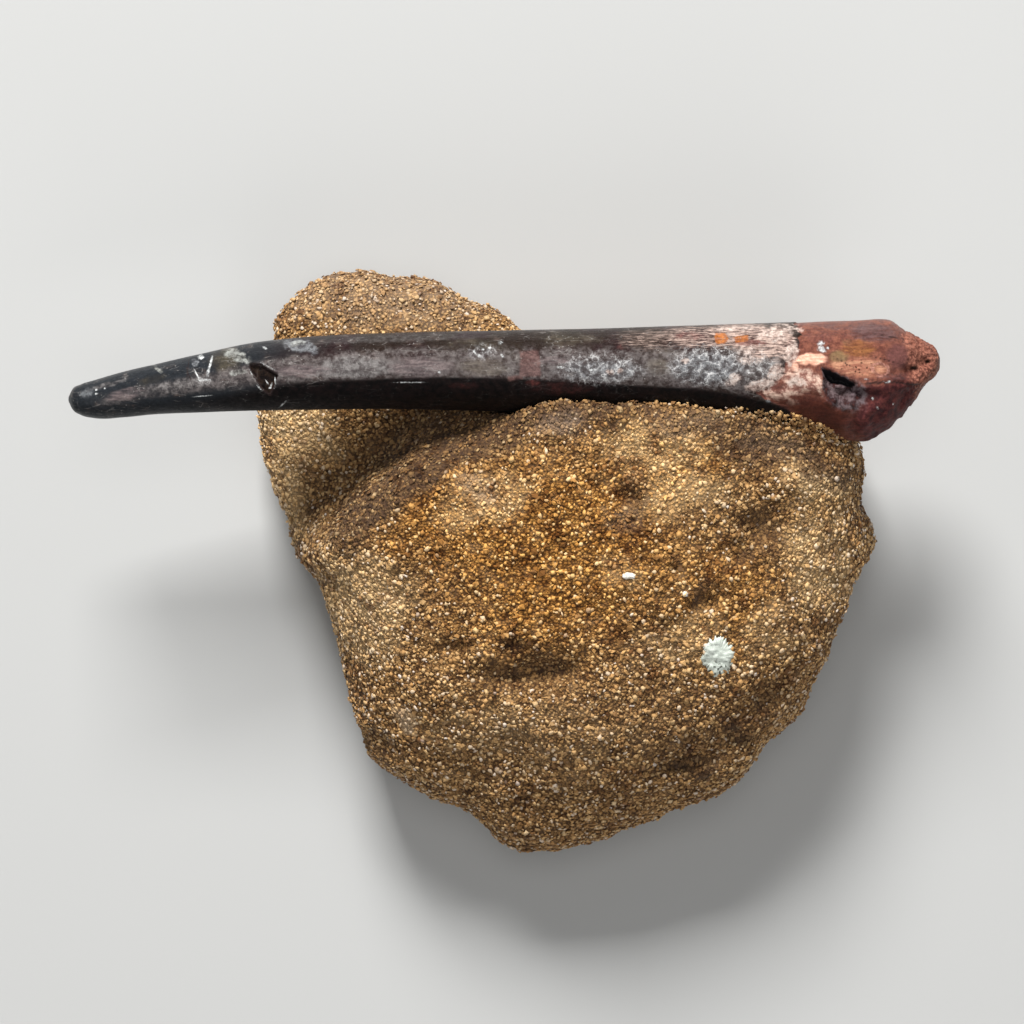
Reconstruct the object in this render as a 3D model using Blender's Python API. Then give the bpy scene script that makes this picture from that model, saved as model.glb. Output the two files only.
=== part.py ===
"""A fossil spinosaurus tooth bedded along the edge of a loose lump of coarse sandstone.

The lump lies on its flat underside, at z = 0. The tooth lies along X, tip at -X, broken
root at +X, in a groove of the stone whose -Y lip laps over the tooth's lower flank.
Lengths in the tables are millimetres, and MM turns them into metres.
"""

import math

import bmesh
import bpy
import numpy as np
from mathutils import Vector, noise

MM = 0.001

# ---- driving dimensions: the tooth -------------------------------------------------
TOOTH_TIP_X = -52.9
TOOTH_END_X = 53.0
TOOTH_AXIS_Z = 24.5
ROOT_AXIS_DROP = 0.7
ROOT_START_X = 30.0
ROOT_LENGTH = 14.0
TOOTH_RINGS = 60
TOOTH_SIDES = 28
RING_CROWDING = 0.11

# The tooth's form: x, lower edge y and upper edge y looking down on it, half depth.
TOOTH_FORM = [
    (-52.9, 19.5, 19.9, 0.2),
    (-52.4, 18.5, 20.9, 1.2),
    (-51.4, 17.8, 21.5, 1.8),
    (-49.8, 17.4, 22.0, 2.2),
    (-46.0, 17.5, 23.1, 2.6),
    (-43.0, 17.8, 23.8, 2.8),
    (-36.9, 18.1, 25.2, 3.3),
    (-30.8, 18.3, 26.5, 3.8),
    (-24.8, 18.4, 27.2, 4.1),
    (-12.6, 18.5, 27.8, 4.4),
    (2.0, 18.1, 28.1, 4.8),
    (11.7, 17.9, 28.3, 5.0),
    (23.8, 17.4, 28.7, 5.4),
    (29.9, 16.8, 28.9, 5.7),
    (36.0, 15.9, 29.1, 5.9),
    (42.1, 14.8, 29.3, 6.0),
    (44.0, 14.6, 29.4, 5.9),
    (45.8, 15.6, 29.5, 5.7),
    (47.0, 16.4, 29.4, 5.4),
    (48.6, 18.2, 28.4, 4.9),
    (50.2, 19.8, 27.5, 4.4),
    (51.6, 21.4, 26.6, 3.5),
    (52.6, 22.9, 25.7, 2.2),
    (53.0, 23.7, 24.7, 0.6),
]

# Relief of the tooth's upper side: x, y, half length, half width, turn, height.
TOOTH_RELIEF = [
    (-28.9, 21.8, 1.5, 1.1, -35.0, -0.55),
    (40.2, 21.9, 2.0, 1.1, -40.0, -1.7),
    (42.4, 20.2, 1.6, 1.2, -20.0, -0.6),
    (45.4, 21.3, 5.5, 0.9, 2.0, 0.5),
    (44.5, 17.6, 2.4, 1.6, 40.0, 0.5),
    (48.8, 22.8, 0.9, 0.8, 0.0, -0.8),
    (50.8, 24.0, 0.8, 0.7, 0.0, -0.6),
]

# ---- driving dimensions: the stone -------------------------------------------------
STONE_CENTRE = (8.9, 1.2)
BASE_INSET = 0.22
SIDE_LEAN = 1.6
PLATEAU_Z = 28.9
PLATEAU_FRONT_Y = 12.0
PLATEAU_FRONT_FALL = 0.0035
PLATEAU_RIGHT_X = 25.0
PLATEAU_RIGHT_FALL = 0.004
GROOVE_CLEARANCE = 0.35
OUTLINE_PIECES = 6
SHOULDER_SAMPLES = 80
TOP_GRID = 28
TOP_REACH = 0.86
SIDE_RINGS_ABOVE_RIM = 9
SIDE_RINGS_BELOW_RIM = 5
WIDTH_TO_HEIGHT = 2.0

# The stone's widest outline, looking down on it, clockwise from beside the tooth.
STONE_OUTLINE = [
    (-28.7, 27.6), (-29.0, 29.9), (-27.2, 32.8), (-24.4, 34.9), (-21.5, 36.1),
    (-18.6, 36.5), (-16.5, 35.9), (-12.6, 35.1), (-10.8, 35.7), (-7.7, 34.6),
    (-5.1, 33.0), (-1.3, 32.1), (0.9, 30.1), (2.1, 28.9), (5.1, 27.9),
    (12.0, 27.1), (19.5, 27.0), (27.0, 26.2), (34.5, 25.0), (39.5, 23.1),
    (42.6, 20.0), (43.9, 16.9), (44.4, 14.8), (45.0, 11.2), (44.9, 7.0),
    (46.4, 4.6), (46.6, 2.5), (45.9, 0.3), (43.4, -2.0), (42.3, -5.0),
    (41.2, -9.4), (40.2, -12.5), (38.6, -14.5), (38.0, -17.9), (35.5, -20.9),
    (33.0, -22.5), (31.1, -25.5), (29.1, -28.0), (25.4, -30.0), (21.8, -31.4),
    (18.5, -33.0), (14.8, -34.2), (12.4, -35.6), (9.9, -35.6), (7.0, -36.5),
    (2.2, -36.4), (-0.6, -35.2), (-3.2, -32.5), (-5.7, -30.9), (-9.2, -30.0),
    (-13.4, -27.6), (-16.9, -24.5), (-18.5, -19.9), (-19.8, -15.0), (-20.4, -11.2),
    (-21.5, -7.2), (-23.1, -2.6), (-25.8, 0.5), (-27.4, 5.8), (-29.5, 10.6),
    (-30.2, 13.5), (-30.9, 18.8), (-30.2, 23.1),
]

# How boxy the stone's shoulder is, by direction in degrees: higher is squarer.
SHOULDER = [
    (0.0, 4.0), (20.0, 7.0), (40.0, 8.0), (90.0, 7.0), (112.0, 3.4),
    (150.0, 3.0), (200.0, 3.0), (270.0, 2.6), (320.0, 3.0),
]

# Height of the stone's widest line, by direction in degrees.
RIM_HEIGHT = [
    (0.0, 10.5), (45.0, 8.5), (90.0, 7.5), (130.0, 8.5), (165.0, 7.5),
    (210.0, 9.5), (255.0, 8.0), (300.0, 10.5), (335.0, 9.0),
]

# Swellings (+) and hollows (-) of the stone: x, y, half length, half width, turn, height.
STONE_RELIEF = [
    (-4.0, 16.4, 7.0, 3.4, 25.0, -2.8),
    (18.9, 15.9, 6.0, 2.6, 0.0, 0.7),
    (8.6, 18.0, 3.4, 1.8, 0.0, 0.6),
    (34.5, 13.3, 6.5, 1.9, -12.0, -1.0),
    (37.5, 9.6, 4.0, 2.6, -20.0, 0.9),
    (31.8, 4.8, 2.6, 2.0, 0.0, -1.3),
    (27.9, 0.8, 2.0, 1.7, 0.0, -1.2),
    (23.9, -4.6, 2.4, 1.7, 20.0, -0.9),
    (14.6, 7.8, 4.4, 3.0, 0.0, -0.7),
    (3.8, -13.3, 6.0, 2.0, 4.0, -1.9),
    (-8.0, -11.5, 5.0, 1.6, -8.0, -0.8),
    (4.4, -20.3, 8.0, 3.6, 0.0, 1.2),
    (21.9, -23.9, 6.4, 2.2, 12.0, -1.6),
    (27.9, -20.9, 1.9, 1.9, 0.0, -1.0),
    (31.5, -16.1, 2.2, 1.8, 0.0, -0.9),
    (-14.9, -21.5, 3.6, 1.6, -30.0, -0.9),
    (5.0, -31.0, 4.5, 2.2, 0.0, -0.9),
    (-15.5, -4.0, 3.4, 6.0, 0.0, 0.7),
    (36.0, -6.0, 4.0, 2.4, 30.0, 0.7),
]

# The ledge that drops from the plateau to the low shelf under the crown.
LEDGE_POINT = (-7.2, 16.1)
LEDGE_TURN = 38.0
LEDGE_FORE = 3.2
LEDGE_AFT = 4.2
LEDGE_WANDER = 1.3
LEDGE_WANDER_SIZE = 9.0
SHELF_Z = 16.6
SHELF_RISE_X = 0.10
SHELF_RISE_Y = 0.12
SHELF_MIDDLE = (-15.0, 20.0)

# The lip that laps over the tooth: x, y of its edge.
LIP_EDGE = [
    (-16.0, 17.6), (-4.0, 17.8), (-0.5, 18.5), (4.0, 19.3), (8.9, 19.8), (11.9, 19.1),
    (16.6, 19.6), (19.6, 19.6), (23.8, 18.9), (26.3, 18.5), (30.9, 18.8), (35.6, 18.5),
    (39.6, 17.1), (42.9, 15.0), (48.0, 13.8),
]
GROOVE_FROM_X = -17.0
GROOVE_TO_X = 48.0
GROOVE_TOP_Z = 38.0
GROOVE_STEPS = 21

# Roughness of the stone: size of the lumps, their height, a seed for where they fall.
STONE_LUMPS = [(14.0, 1.3, 1.0), (7.0, 0.8, 5.0), (3.6, 0.4, 9.0)]
STONE_BEDS = [(9.0, 1.1, 14.0), (5.0, 0.5, 20.0)]
BED_FLATTENING = 2.4
TOP_ROUGHNESS = 0.75
RIM_ROUGHNESS = 0.3
RIM_BAND = 6.0
OUTLINE_SOFTENING = 15
SOFTENING_SAMPLES = 3
BASE_TOLERANCE = 0.01
ROUGH_ABOVE_BASE = 5.0

# Roughness of the root and of its broken end, which fades towards its upper edge.
ROOT_LUMPS = [(4.5, 0.30, 3.0), (2.1, 0.18, 7.0)]
ROOT_LUMPS_X = (34.0, 40.0)
BREAK_LUMPS = [(3.2, 0.9, 12.0), (1.7, 0.35, 16.0)]
BREAK_LUMPS_X = (45.5, 48.5)
UPPER_EDGE_CALM = 0.8
DEEPEST_SHARE = 0.9


def clear_scene():
    for thing in list(bpy.data.objects):
        bpy.data.objects.remove(thing, do_unlink=True)


def material(name, color, roughness):
    made = bpy.data.materials.new(name)
    made.use_nodes = True
    shader = made.node_tree.nodes["Principled BSDF"]
    shader.inputs["Base Color"].default_value = (*color, 1.0)
    shader.inputs["Roughness"].default_value = roughness
    shader.inputs["Metallic"].default_value = 0.0
    return made


def ramp(value, low, high):
    """0 below low, 1 above high, and a smooth rise between."""
    t = min(max((value - low) / (high - low), 0.0), 1.0)
    return t * t * (3.0 - 2.0 * t)


def through_points(x, xs, ys):
    """The height at x of a smooth curve through the points (xs, ys)."""
    slopes = np.gradient(ys, xs)
    i = int(np.clip(np.searchsorted(xs, x) - 1, 0, len(xs) - 2))
    span = xs[i + 1] - xs[i]
    t = min(max((x - xs[i]) / span, 0.0), 1.0)
    start = (1.0 + 2.0 * t) * (1.0 - t) ** 2 * ys[i] + t * (1.0 - t) ** 2 * span * slopes[i]
    end = t * t * (3.0 - 2.0 * t) * ys[i + 1] - t * t * (1.0 - t) * span * slopes[i + 1]
    return start + end


def lumps(point, layers):
    """Summed smooth noise at a point, in millimetres."""
    total = 0.0
    for size, height, seed in layers:
        total += height * noise.noise(Vector(point) / size + Vector((seed, -seed, 2.0 * seed)))
    return total


def mound(x, y, features):
    """The summed height at (x, y) of oval swellings and hollows."""
    total = 0.0
    for cx, cy, length, width, turn, height in features:
        a = math.radians(turn)
        along = ((x - cx) * math.cos(a) + (y - cy) * math.sin(a)) / length
        across = ((y - cy) * math.cos(a) - (x - cx) * math.sin(a)) / width
        total += height * math.exp(-(along**2 + across**2) ** 1.5)
    return total


# ---- the tooth ---------------------------------------------------------------------
FORM_X, FORM_LOW, FORM_HIGH, FORM_DEPTH = np.array(TOOTH_FORM).T


def tooth_section(x):
    """Centre y, centre z, half height and half depth of the tooth at x."""
    low = through_points(x, FORM_X, FORM_LOW)
    high = through_points(x, FORM_X, FORM_HIGH)
    axis_z = TOOTH_AXIS_Z - ROOT_AXIS_DROP * ramp(x, ROOT_START_X, ROOT_START_X + ROOT_LENGTH)
    return (low + high) / 2.0, axis_z, (high - low) / 2.0, through_points(x, FORM_X, FORM_DEPTH)


def tooth_point(x, angle, grow=0.0):
    """A point of the tooth's surface, in millimetres, grown outward by grow."""
    y, z, half_height, half_depth = tooth_section(x)
    out = Vector((0.0, math.cos(angle), math.sin(angle)))
    point = Vector((x, y + half_height * out.y, z + half_depth * out.z))
    shift = ramp(x, *ROOT_LUMPS_X) * lumps(point, ROOT_LUMPS)
    shift += ramp(x, *BREAK_LUMPS_X) * lumps(point, BREAK_LUMPS)
    shift *= 1.0 - UPPER_EDGE_CALM * max(out.y, 0.0) ** 2
    if out.z > 0.0:
        shift += out.z * mound(point.x, point.y, TOOTH_RELIEF)
    return point + out * (min(shift, DEEPEST_SHARE * half_depth) + grow)


def ring_positions():
    """Places of the tooth's rings along X, closer together towards both ends."""
    steps = [(i + 0.5) / TOOTH_RINGS for i in range(TOOTH_RINGS)]
    eased = [t - RING_CROWDING * math.sin(2.0 * math.pi * t) for t in steps]
    return [TOOTH_TIP_X + (TOOTH_END_X - TOOTH_TIP_X) * t for t in eased]


def bridge(bm, ring_a, ring_b):
    """Quads between two closed rings of the same number of vertices."""
    for i in range(len(ring_a)):
        j = (i + 1) % len(ring_a)
        bm.faces.new((ring_a[i], ring_a[j], ring_b[j], ring_b[i]))


def add_object(name, bm, mat):
    """Turns millimetres into metres and makes a smooth-shaded object of the mesh."""
    bmesh.ops.recalc_face_normals(bm, faces=bm.faces)
    bmesh.ops.scale(bm, vec=(MM, MM, MM), verts=bm.verts)
    mesh = bpy.data.meshes.new(name)
    bm.to_mesh(mesh)
    bm.free()
    mesh.shade_smooth()
    made = bpy.data.objects.new(name, mesh)
    bpy.context.collection.objects.link(made)
    if mat:
        mesh.materials.append(mat)
    return made


def make_tooth():
    bm = bmesh.new()
    rings = []
    for x in ring_positions():
        angles = [2.0 * math.pi * i / TOOTH_SIDES for i in range(TOOTH_SIDES)]
        rings.append([bm.verts.new(tooth_point(x, a)) for a in angles])
    for near, far in zip(rings, rings[1:]):
        bridge(bm, near, far)
    for ring, x in ((rings[0], TOOTH_TIP_X), (rings[-1], TOOTH_END_X)):
        y, z, _, _ = tooth_section(x)
        pole = bm.verts.new((x, y, z))
        for i, vert in enumerate(ring):
            bm.faces.new((vert, ring[(i + 1) % TOOTH_SIDES], pole))
    return add_object("tooth", bm, material("tooth", (0.085, 0.070, 0.068), 0.28))


# ---- the stone ---------------------------------------------------------------------
def smooth_outline(points):
    """A closed Catmull-Rom curve through the points, as direction and distance."""
    curve = []
    count = len(points)
    for i in range(count):
        p0, p1, p2, p3 = (Vector(points[(i + k - 1) % count]) for k in range(4))
        for step in range(OUTLINE_PIECES):
            t = step / OUTLINE_PIECES
            curve.append(
                0.5 * (2.0 * p1 + (p2 - p0) * t + (2.0 * p0 - 5.0 * p1 + 4.0 * p2 - p3) * t * t
                       + (3.0 * p1 - p0 - 3.0 * p2 + p3) * t**3)
            )
    away = np.array(curve) - np.array(STONE_CENTRE)
    turns = np.arctan2(away[:, 1], away[:, 0])
    order = np.argsort(turns)
    return turns[order], np.hypot(away[:, 0], away[:, 1])[order]


OUTLINE_TURNS, OUTLINE_REACH = smooth_outline(STONE_OUTLINE)
SHOULDER_TURNS, SHOULDER_POWERS = np.array(SHOULDER).T
RIM_TURNS, RIM_HEIGHTS = np.array(RIM_HEIGHT).T
LIP_X, LIP_Y = np.array(LIP_EDGE).T


def around_stone(turn, turns, values):
    return float(np.interp(turn, turns, values, period=2.0 * math.pi))


def squareness(turn):
    return around_stone(turn, np.radians(SHOULDER_TURNS), SHOULDER_POWERS)


def rim_height(turn):
    return around_stone(turn, np.radians(RIM_TURNS), RIM_HEIGHTS)


def reach(turn, at_rim):
    """Distance out to the stone's side: its true outline at the rim, softer away from it."""
    steps = range(-SOFTENING_SAMPLES, SOFTENING_SAMPLES + 1)
    spread = [math.radians(OUTLINE_SOFTENING * k / SOFTENING_SAMPLES) for k in steps]
    soft = sum(around_stone(turn + s, OUTLINE_TURNS, OUTLINE_REACH) for s in spread) / len(spread)
    true = around_stone(turn, OUTLINE_TURNS, OUTLINE_REACH)
    return min(soft, true) + (true - min(soft, true)) * at_rim


def top_height(x, y):
    """Height of the stone's top before its shoulders round it off."""
    plateau = PLATEAU_Z
    plateau -= PLATEAU_FRONT_FALL * max(0.0, PLATEAU_FRONT_Y - y) ** 2
    plateau -= PLATEAU_RIGHT_FALL * max(0.0, x - PLATEAU_RIGHT_X) ** 2
    shelf = (SHELF_Z + SHELF_RISE_X * (x - SHELF_MIDDLE[0])
             + SHELF_RISE_Y * (y - SHELF_MIDDLE[1]))
    a = math.radians(LEDGE_TURN)
    past = (y - LEDGE_POINT[1]) * math.cos(a) - (x - LEDGE_POINT[0]) * math.sin(a)
    past += LEDGE_WANDER * noise.noise(Vector((x, y, 0.0)) / LEDGE_WANDER_SIZE)
    drop = ramp(past, -LEDGE_FORE, LEDGE_AFT)
    return plateau + (shelf - plateau) * drop + mound(x, y, STONE_RELIEF)


def stone_point(turn, part_way, height_share, at_rim):
    """A point part_way out to the outline, at a share of the way from rim to top."""
    out = reach(turn, at_rim) * part_way - SIDE_LEAN * height_share * part_way**6
    x = STONE_CENTRE[0] + out * math.cos(turn)
    y = STONE_CENTRE[1] + out * math.sin(turn)
    rim_z = rim_height(turn)
    return Vector((x, y, rim_z + (top_height(x, y) - rim_z) * height_share))


def shoulder_share(turn, part_way):
    power = squareness(turn)
    return (1.0 - min(part_way, 1.0) ** power) ** (1.0 / power)


def shoulder_curve(turn):
    """Evenly spaced steps down the shoulder: pairs of part_way and height_share."""
    power = squareness(turn)
    start = math.asin(TOP_REACH ** (power / 2.0))
    arcs = np.linspace(start, math.pi / 2.0, SHOULDER_SAMPLES)
    part_ways = np.sin(arcs) ** (2.0 / power)
    shares = np.maximum(np.cos(arcs), 0.0) ** (2.0 / power)
    shares[-1] = 0.0
    steps = np.hypot(np.diff(part_ways) * WIDTH_TO_HEIGHT, np.diff(shares))
    along = np.concatenate([[0.0], np.cumsum(steps)])
    even = np.linspace(0.0, along[-1], SIDE_RINGS_ABOVE_RIM + 1)
    return list(zip(np.interp(even, along, part_ways), np.interp(even, along, shares)))


def disc_place(u, v):
    """Maps a square's point to a disc: its direction and its distance out."""
    x = u * math.sqrt(1.0 - v * v / 2.0)
    y = v * math.sqrt(1.0 - u * u / 2.0)
    return math.atan2(y, x), math.hypot(x, y)


def square_border(grid):
    """The grid's outer vertices in turn."""
    low, high = 0, len(grid) - 1
    border = [grid[i][low] for i in range(high)]
    border += [grid[high][j] for j in range(high)]
    border += [grid[i][high] for i in range(high, low, -1)]
    border += [grid[low][j] for j in range(high, low, -1)]
    return border


def make_stone_body():
    bm = bmesh.new()
    grid = []
    turns = {}
    for i in range(TOP_GRID + 1):
        column = []
        for j in range(TOP_GRID + 1):
            turn, out = disc_place(2.0 * i / TOP_GRID - 1.0, 2.0 * j / TOP_GRID - 1.0)
            part_way = out * TOP_REACH
            share = shoulder_share(turn, part_way)
            vert = bm.verts.new(stone_point(turn, part_way, share, 0.0))
            turns[vert] = turn
            column.append(vert)
        grid.append(column)
    for i in range(TOP_GRID):
        for j in range(TOP_GRID):
            bm.faces.new((grid[i][j], grid[i + 1][j], grid[i + 1][j + 1], grid[i][j + 1]))
    ring = square_border(grid)
    around = [turns[vert] for vert in ring]
    curves = [shoulder_curve(turn) for turn in around]
    for step in range(1, SIDE_RINGS_ABOVE_RIM + 1):
        lower = []
        for turn, curve in zip(around, curves):
            part_way, share = curve[step]
            lower.append(bm.verts.new(stone_point(turn, part_way, share, (1.0 - share) ** 2)))
        bridge(bm, ring, lower)
        ring = lower
    for step in range(1, SIDE_RINGS_BELOW_RIM + 1):
        arc = math.pi / 2.0 * step / SIDE_RINGS_BELOW_RIM
        lower = []
        for turn in around:
            part_way = 1.0 - BASE_INSET * (1.0 - math.cos(arc))
            point = stone_point(turn, part_way, 0.0, math.cos(arc) ** 2)
            point.z *= 1.0 - math.sin(arc)
            lower.append(bm.verts.new(point))
        bridge(bm, ring, lower)
        ring = lower
    bm.faces.new(ring)
    roughen(bm)
    return bm


def roughen(bm):
    """Moves the stone's surface in and out, leaving its flat base where it is."""
    bmesh.ops.recalc_face_normals(bm, faces=bm.faces)
    bm.normal_update()
    moves = []
    for vert in bm.verts:
        if vert.co.z < BASE_TOLERANCE:
            continue
        away = vert.co - Vector((*STONE_CENTRE, 0.0))
        from_rim = abs(vert.co.z - rim_height(math.atan2(away.y, away.x)))
        rough = RIM_ROUGHNESS + (1.0 - RIM_ROUGHNESS) * ramp(from_rim, 0.0, RIM_BAND)
        flat = abs(vert.normal.z)
        beds = Vector((vert.co.x, vert.co.y, vert.co.z * BED_FLATTENING))
        amount = lumps(vert.co, STONE_LUMPS) * (1.0 + (TOP_ROUGHNESS - 1.0) * flat)
        amount += lumps(beds, STONE_BEDS) * (1.0 - flat)
        rough *= ramp(vert.co.z, 0.0, ROUGH_ABOVE_BASE)
        moves.append((vert, vert.normal * amount * rough))
    for vert, move in moves:
        vert.co += move


def make_groove_cutter():
    """The tooth's lower side with clearance, open upward as far as the stone's lip."""
    bm = bmesh.new()
    sections = []
    for x in [place for place in ring_positions() if GROOVE_FROM_X < place < GROOVE_TO_X]:
        y, _, half_height, _ = tooth_section(x)
        lip_y = through_points(x, LIP_X, LIP_Y)
        start = math.acos(min(max((lip_y - y) / (half_height + GROOVE_CLEARANCE), -1.0), 0.0))
        sweep = 2.0 * math.pi - start
        arc = [start + sweep * i / GROOVE_STEPS for i in range(GROOVE_STEPS + 1)]
        points = [tooth_point(x, angle, GROOVE_CLEARANCE) for angle in arc]
        points.append(Vector((x, points[-1].y, GROOVE_TOP_Z)))
        points.append(Vector((x, points[0].y, GROOVE_TOP_Z)))
        sections.append([bm.verts.new(point) for point in points])
    for near, far in zip(sections, sections[1:]):
        bridge(bm, near, far)
    bm.faces.new(sections[0])
    bm.faces.new(sections[-1])
    cutter = add_object("groove_cutter", bm, None)
    cutter.hide_render = True
    cutter.display_type = "WIRE"
    return cutter


def make_stone():
    mat = material("sandstone", (0.42, 0.27, 0.11), 0.9)
    stone = add_object("sandstone_matrix", make_stone_body(), mat)
    groove = stone.modifiers.new("groove", "BOOLEAN")
    groove.operation = "DIFFERENCE"
    groove.solver = "EXACT"
    groove.object = make_groove_cutter()
    return stone


clear_scene()
make_tooth()
make_stone()
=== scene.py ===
"""The looks of a fossil spinosaurus tooth bedded along the edge of a lump of coarse sandstone.

The tooth lies along X, tip at -X and broken root at +X, and the camera looks straight down.
Lengths and places in the tables are millimetres, and MM turns them into metres.
"""

import math

import bmesh
import bpy
import numpy as np
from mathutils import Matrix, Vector, noise
from mathutils.bvhtree import BVHTree


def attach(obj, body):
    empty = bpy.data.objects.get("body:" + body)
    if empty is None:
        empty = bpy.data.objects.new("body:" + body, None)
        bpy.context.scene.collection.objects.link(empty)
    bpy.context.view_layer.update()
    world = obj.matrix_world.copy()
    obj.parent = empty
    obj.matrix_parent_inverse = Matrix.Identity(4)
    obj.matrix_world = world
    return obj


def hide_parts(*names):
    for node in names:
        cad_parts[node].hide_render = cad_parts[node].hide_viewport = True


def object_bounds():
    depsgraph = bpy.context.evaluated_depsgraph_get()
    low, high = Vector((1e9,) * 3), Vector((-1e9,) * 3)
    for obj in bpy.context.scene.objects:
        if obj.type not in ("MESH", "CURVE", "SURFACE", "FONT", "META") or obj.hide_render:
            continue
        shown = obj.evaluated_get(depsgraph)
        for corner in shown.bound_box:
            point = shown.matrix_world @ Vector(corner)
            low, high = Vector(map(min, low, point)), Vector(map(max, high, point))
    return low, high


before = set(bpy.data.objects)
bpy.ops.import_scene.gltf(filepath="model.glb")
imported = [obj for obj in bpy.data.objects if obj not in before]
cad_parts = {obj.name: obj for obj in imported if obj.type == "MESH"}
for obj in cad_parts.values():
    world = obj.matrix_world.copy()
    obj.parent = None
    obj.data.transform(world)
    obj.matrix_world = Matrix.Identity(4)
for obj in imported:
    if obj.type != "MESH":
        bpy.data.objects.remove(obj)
CAD_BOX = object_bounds()
MM = 0.001

# ---- the tooth's form: x, lower edge y, upper edge y, half depth ----
TOOTH_FORM = [
    (-52.9, 19.5, 19.9, 0.2), (-52.4, 18.5, 20.9, 1.2), (-51.4, 17.8, 21.5, 1.8),
    (-49.8, 17.4, 22, 2.2), (-46, 17.5, 23.1, 2.6), (-43, 17.8, 23.8, 2.8), (-36.9, 18.1, 25.2, 3.3),
    (-30.8, 18.3, 26.5, 3.8), (-24.8, 18.4, 27.2, 4.1), (-12.6, 18.5, 27.8, 4.4), (2, 18.1, 28.1, 4.8),
    (11.7, 17.9, 28.3, 5), (23.8, 17.4, 28.7, 5.4), (29.9, 16.8, 28.9, 5.7), (36, 15.9, 29.1, 5.9),
    (42.1, 14.8, 29.3, 6), (44, 14.6, 29.4, 5.9), (45.8, 15.6, 29.5, 5.7), (47, 16.4, 29.4, 5.4),
    (48.6, 18.2, 28.4, 4.9), (50.2, 19.8, 27.5, 4.4), (51.6, 21.4, 26.6, 3.5), (52.6, 22.9, 25.7, 2.2),
    (53, 23.7, 24.7, 0.6),
]
FORM_X, FORM_LOW, FORM_HIGH, FORM_DEPTH = np.array(TOOTH_FORM).T
TOOTH_AXIS_Z = 24.5
ROOT_AXIS_DROP = 0.7
ROOT_START_X = 30.0
ROOT_LENGTH = 14.0
TOOTH_RINGS = 880
TOOTH_SIDES = 112
# Rings lie closer together near both ends, and their points closer on the upper side.
END_CROWDING = 0.03
TOP_CROWDING = 0.35

# Relief of the tooth's upper side: x, y, half length, half width, turn, height.
TOOTH_RELIEF = [
    (42.4, 20.2, 1.6, 1.2, -20, -0.6), (45.4, 21.3, 5.5, 0.9, 2, 0.5), (44.5, 17.6, 2.4, 1.6, 40, 0.5),
    (48.8, 22.8, 0.9, 0.8, 0, -0.8), (50.8, 24, 0.8, 0.7, 0, -0.6), (39.6, 19.4, 0.7, 0.6, 0, 0.5),
    (40.6, 20.9, 0.6, 0.5, 30, 0.4), (43.4, 17.3, 0.8, 0.7, 0, 0.45), (44.4, 18.4, 0.7, 0.5, 20, 0.35),
    (42, 18.6, 0.8, 0.6, -20, 0.3), (36.2, 21.4, 0.9, 0.7, 0, 0.25), (37.6, 20.9, 0.7, 0.6, 0, 0.25),
    (34.9, 22.2, 0.7, 0.6, 0, 0.2), (45.3, 23.3, 0.5, 0.4, 0, -0.22),
]
# Fine relief, each layer by size, height and seed; a pair of x says where it sets in.
ROOT_LUMPS = [(4.5, 0.3, 3), (2.1, 0.18, 7)]
ROOT_LUMPS_X = (34.0, 40.0)
BREAK_LUMPS = [(3.2, 0.9, 12), (1.7, 0.35, 16)]
BREAK_LUMPS_X = (45.5, 48.5)
SPONGE_PORES = [(0.9, 1.0, 25), (0.45, 0.6, 28)]
SPONGE_DEPTH = 0.45
SPONGE_X = (46.5, 50.0)
RUBBLE_LUMPS = [(0.75, 0.42, 21), (0.4, 0.252, 23)]
PLUM_LUMPS = [(0.9, 0.24, 45)]
FLUTES = [(0.8, 0.025, 40)]
FLUTE_STRETCH = (0.12, 1.0, 1.0)
FLAKE_HEIGHT = 0.05
UPPER_EDGE_CALM = 0.8
# No relief stands out further than this share of the tooth's half depth.
TALLEST_SHARE = 0.9

# ---- cuts in the tooth's upper side ----
# Outlines, depths, and how far in from the outline each wall begins and ends. The chip
# is CHIP_DEPTH deep at CHIP_Y and deeper towards +Y. The crease's walls go out from a line.
CHIP = [
    (-30.7, 24), (-29.2, 23.8), (-27.2, 22.5), (-27.6, 21.4), (-28.2, 20), (-29.3, 20.9), (-30, 22.2),
    (-30.6, 23.2),
]
CHIP_DEPTH = 0.42
CHIP_Y = 22.0
CHIP_SLOPE = 0.45
CHIP_WALL = (-0.04, 0.16)
CAVITY = [
    (38.1, 23.5), (39.3, 23.1), (40.5, 22.5), (41.6, 22), (42.5, 21.3), (43, 20.2), (41.8, 18.9),
    (40.3, 18.4), (39.1, 19.2), (38.3, 20.6), (38.3, 22.2),
]
CAVITY_DEPTH = 1.1
CAVITY_WALL = (-0.1, 1.2)
HOLE = [
    (38, 23.5), (39.3, 23.1), (40.5, 22.5), (41.7, 21.9), (42.6, 21.1), (41.5, 20.7), (40.5, 21.2),
    (39.4, 21.2), (38.6, 22.1),
]
HOLE_DEPTH = 1.2
HOLE_WALL = (-0.05, 0.5)
CREASE = [(42.1, 21.6), (44.5, 21.5), (47.0, 21.7), (50.3, 21.3)]
CREASE_DEPTH = 0.22
CREASE_WALL = (0.05, 0.4)

# ---- marks on the tooth ----
ORANGE_PATCHES = [
    [(25.5, 27.6), (26.7, 27.5), (27.2, 26.9), (26.6, 26.3), (25.5, 26.2)],
    [(27.7, 27.1), (29.5, 27.3), (29.4, 26.6), (28, 26.4)],
]
BLUSH_PATCHES = [
    [(1.9, 25.3), (4.2, 25.5), (4.5, 22.2), (1.9, 22.3)],
    [(0.4, 22.3), (2.3, 22.4), (2.3, 21.9), (0.6, 21.9)],
]
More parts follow.
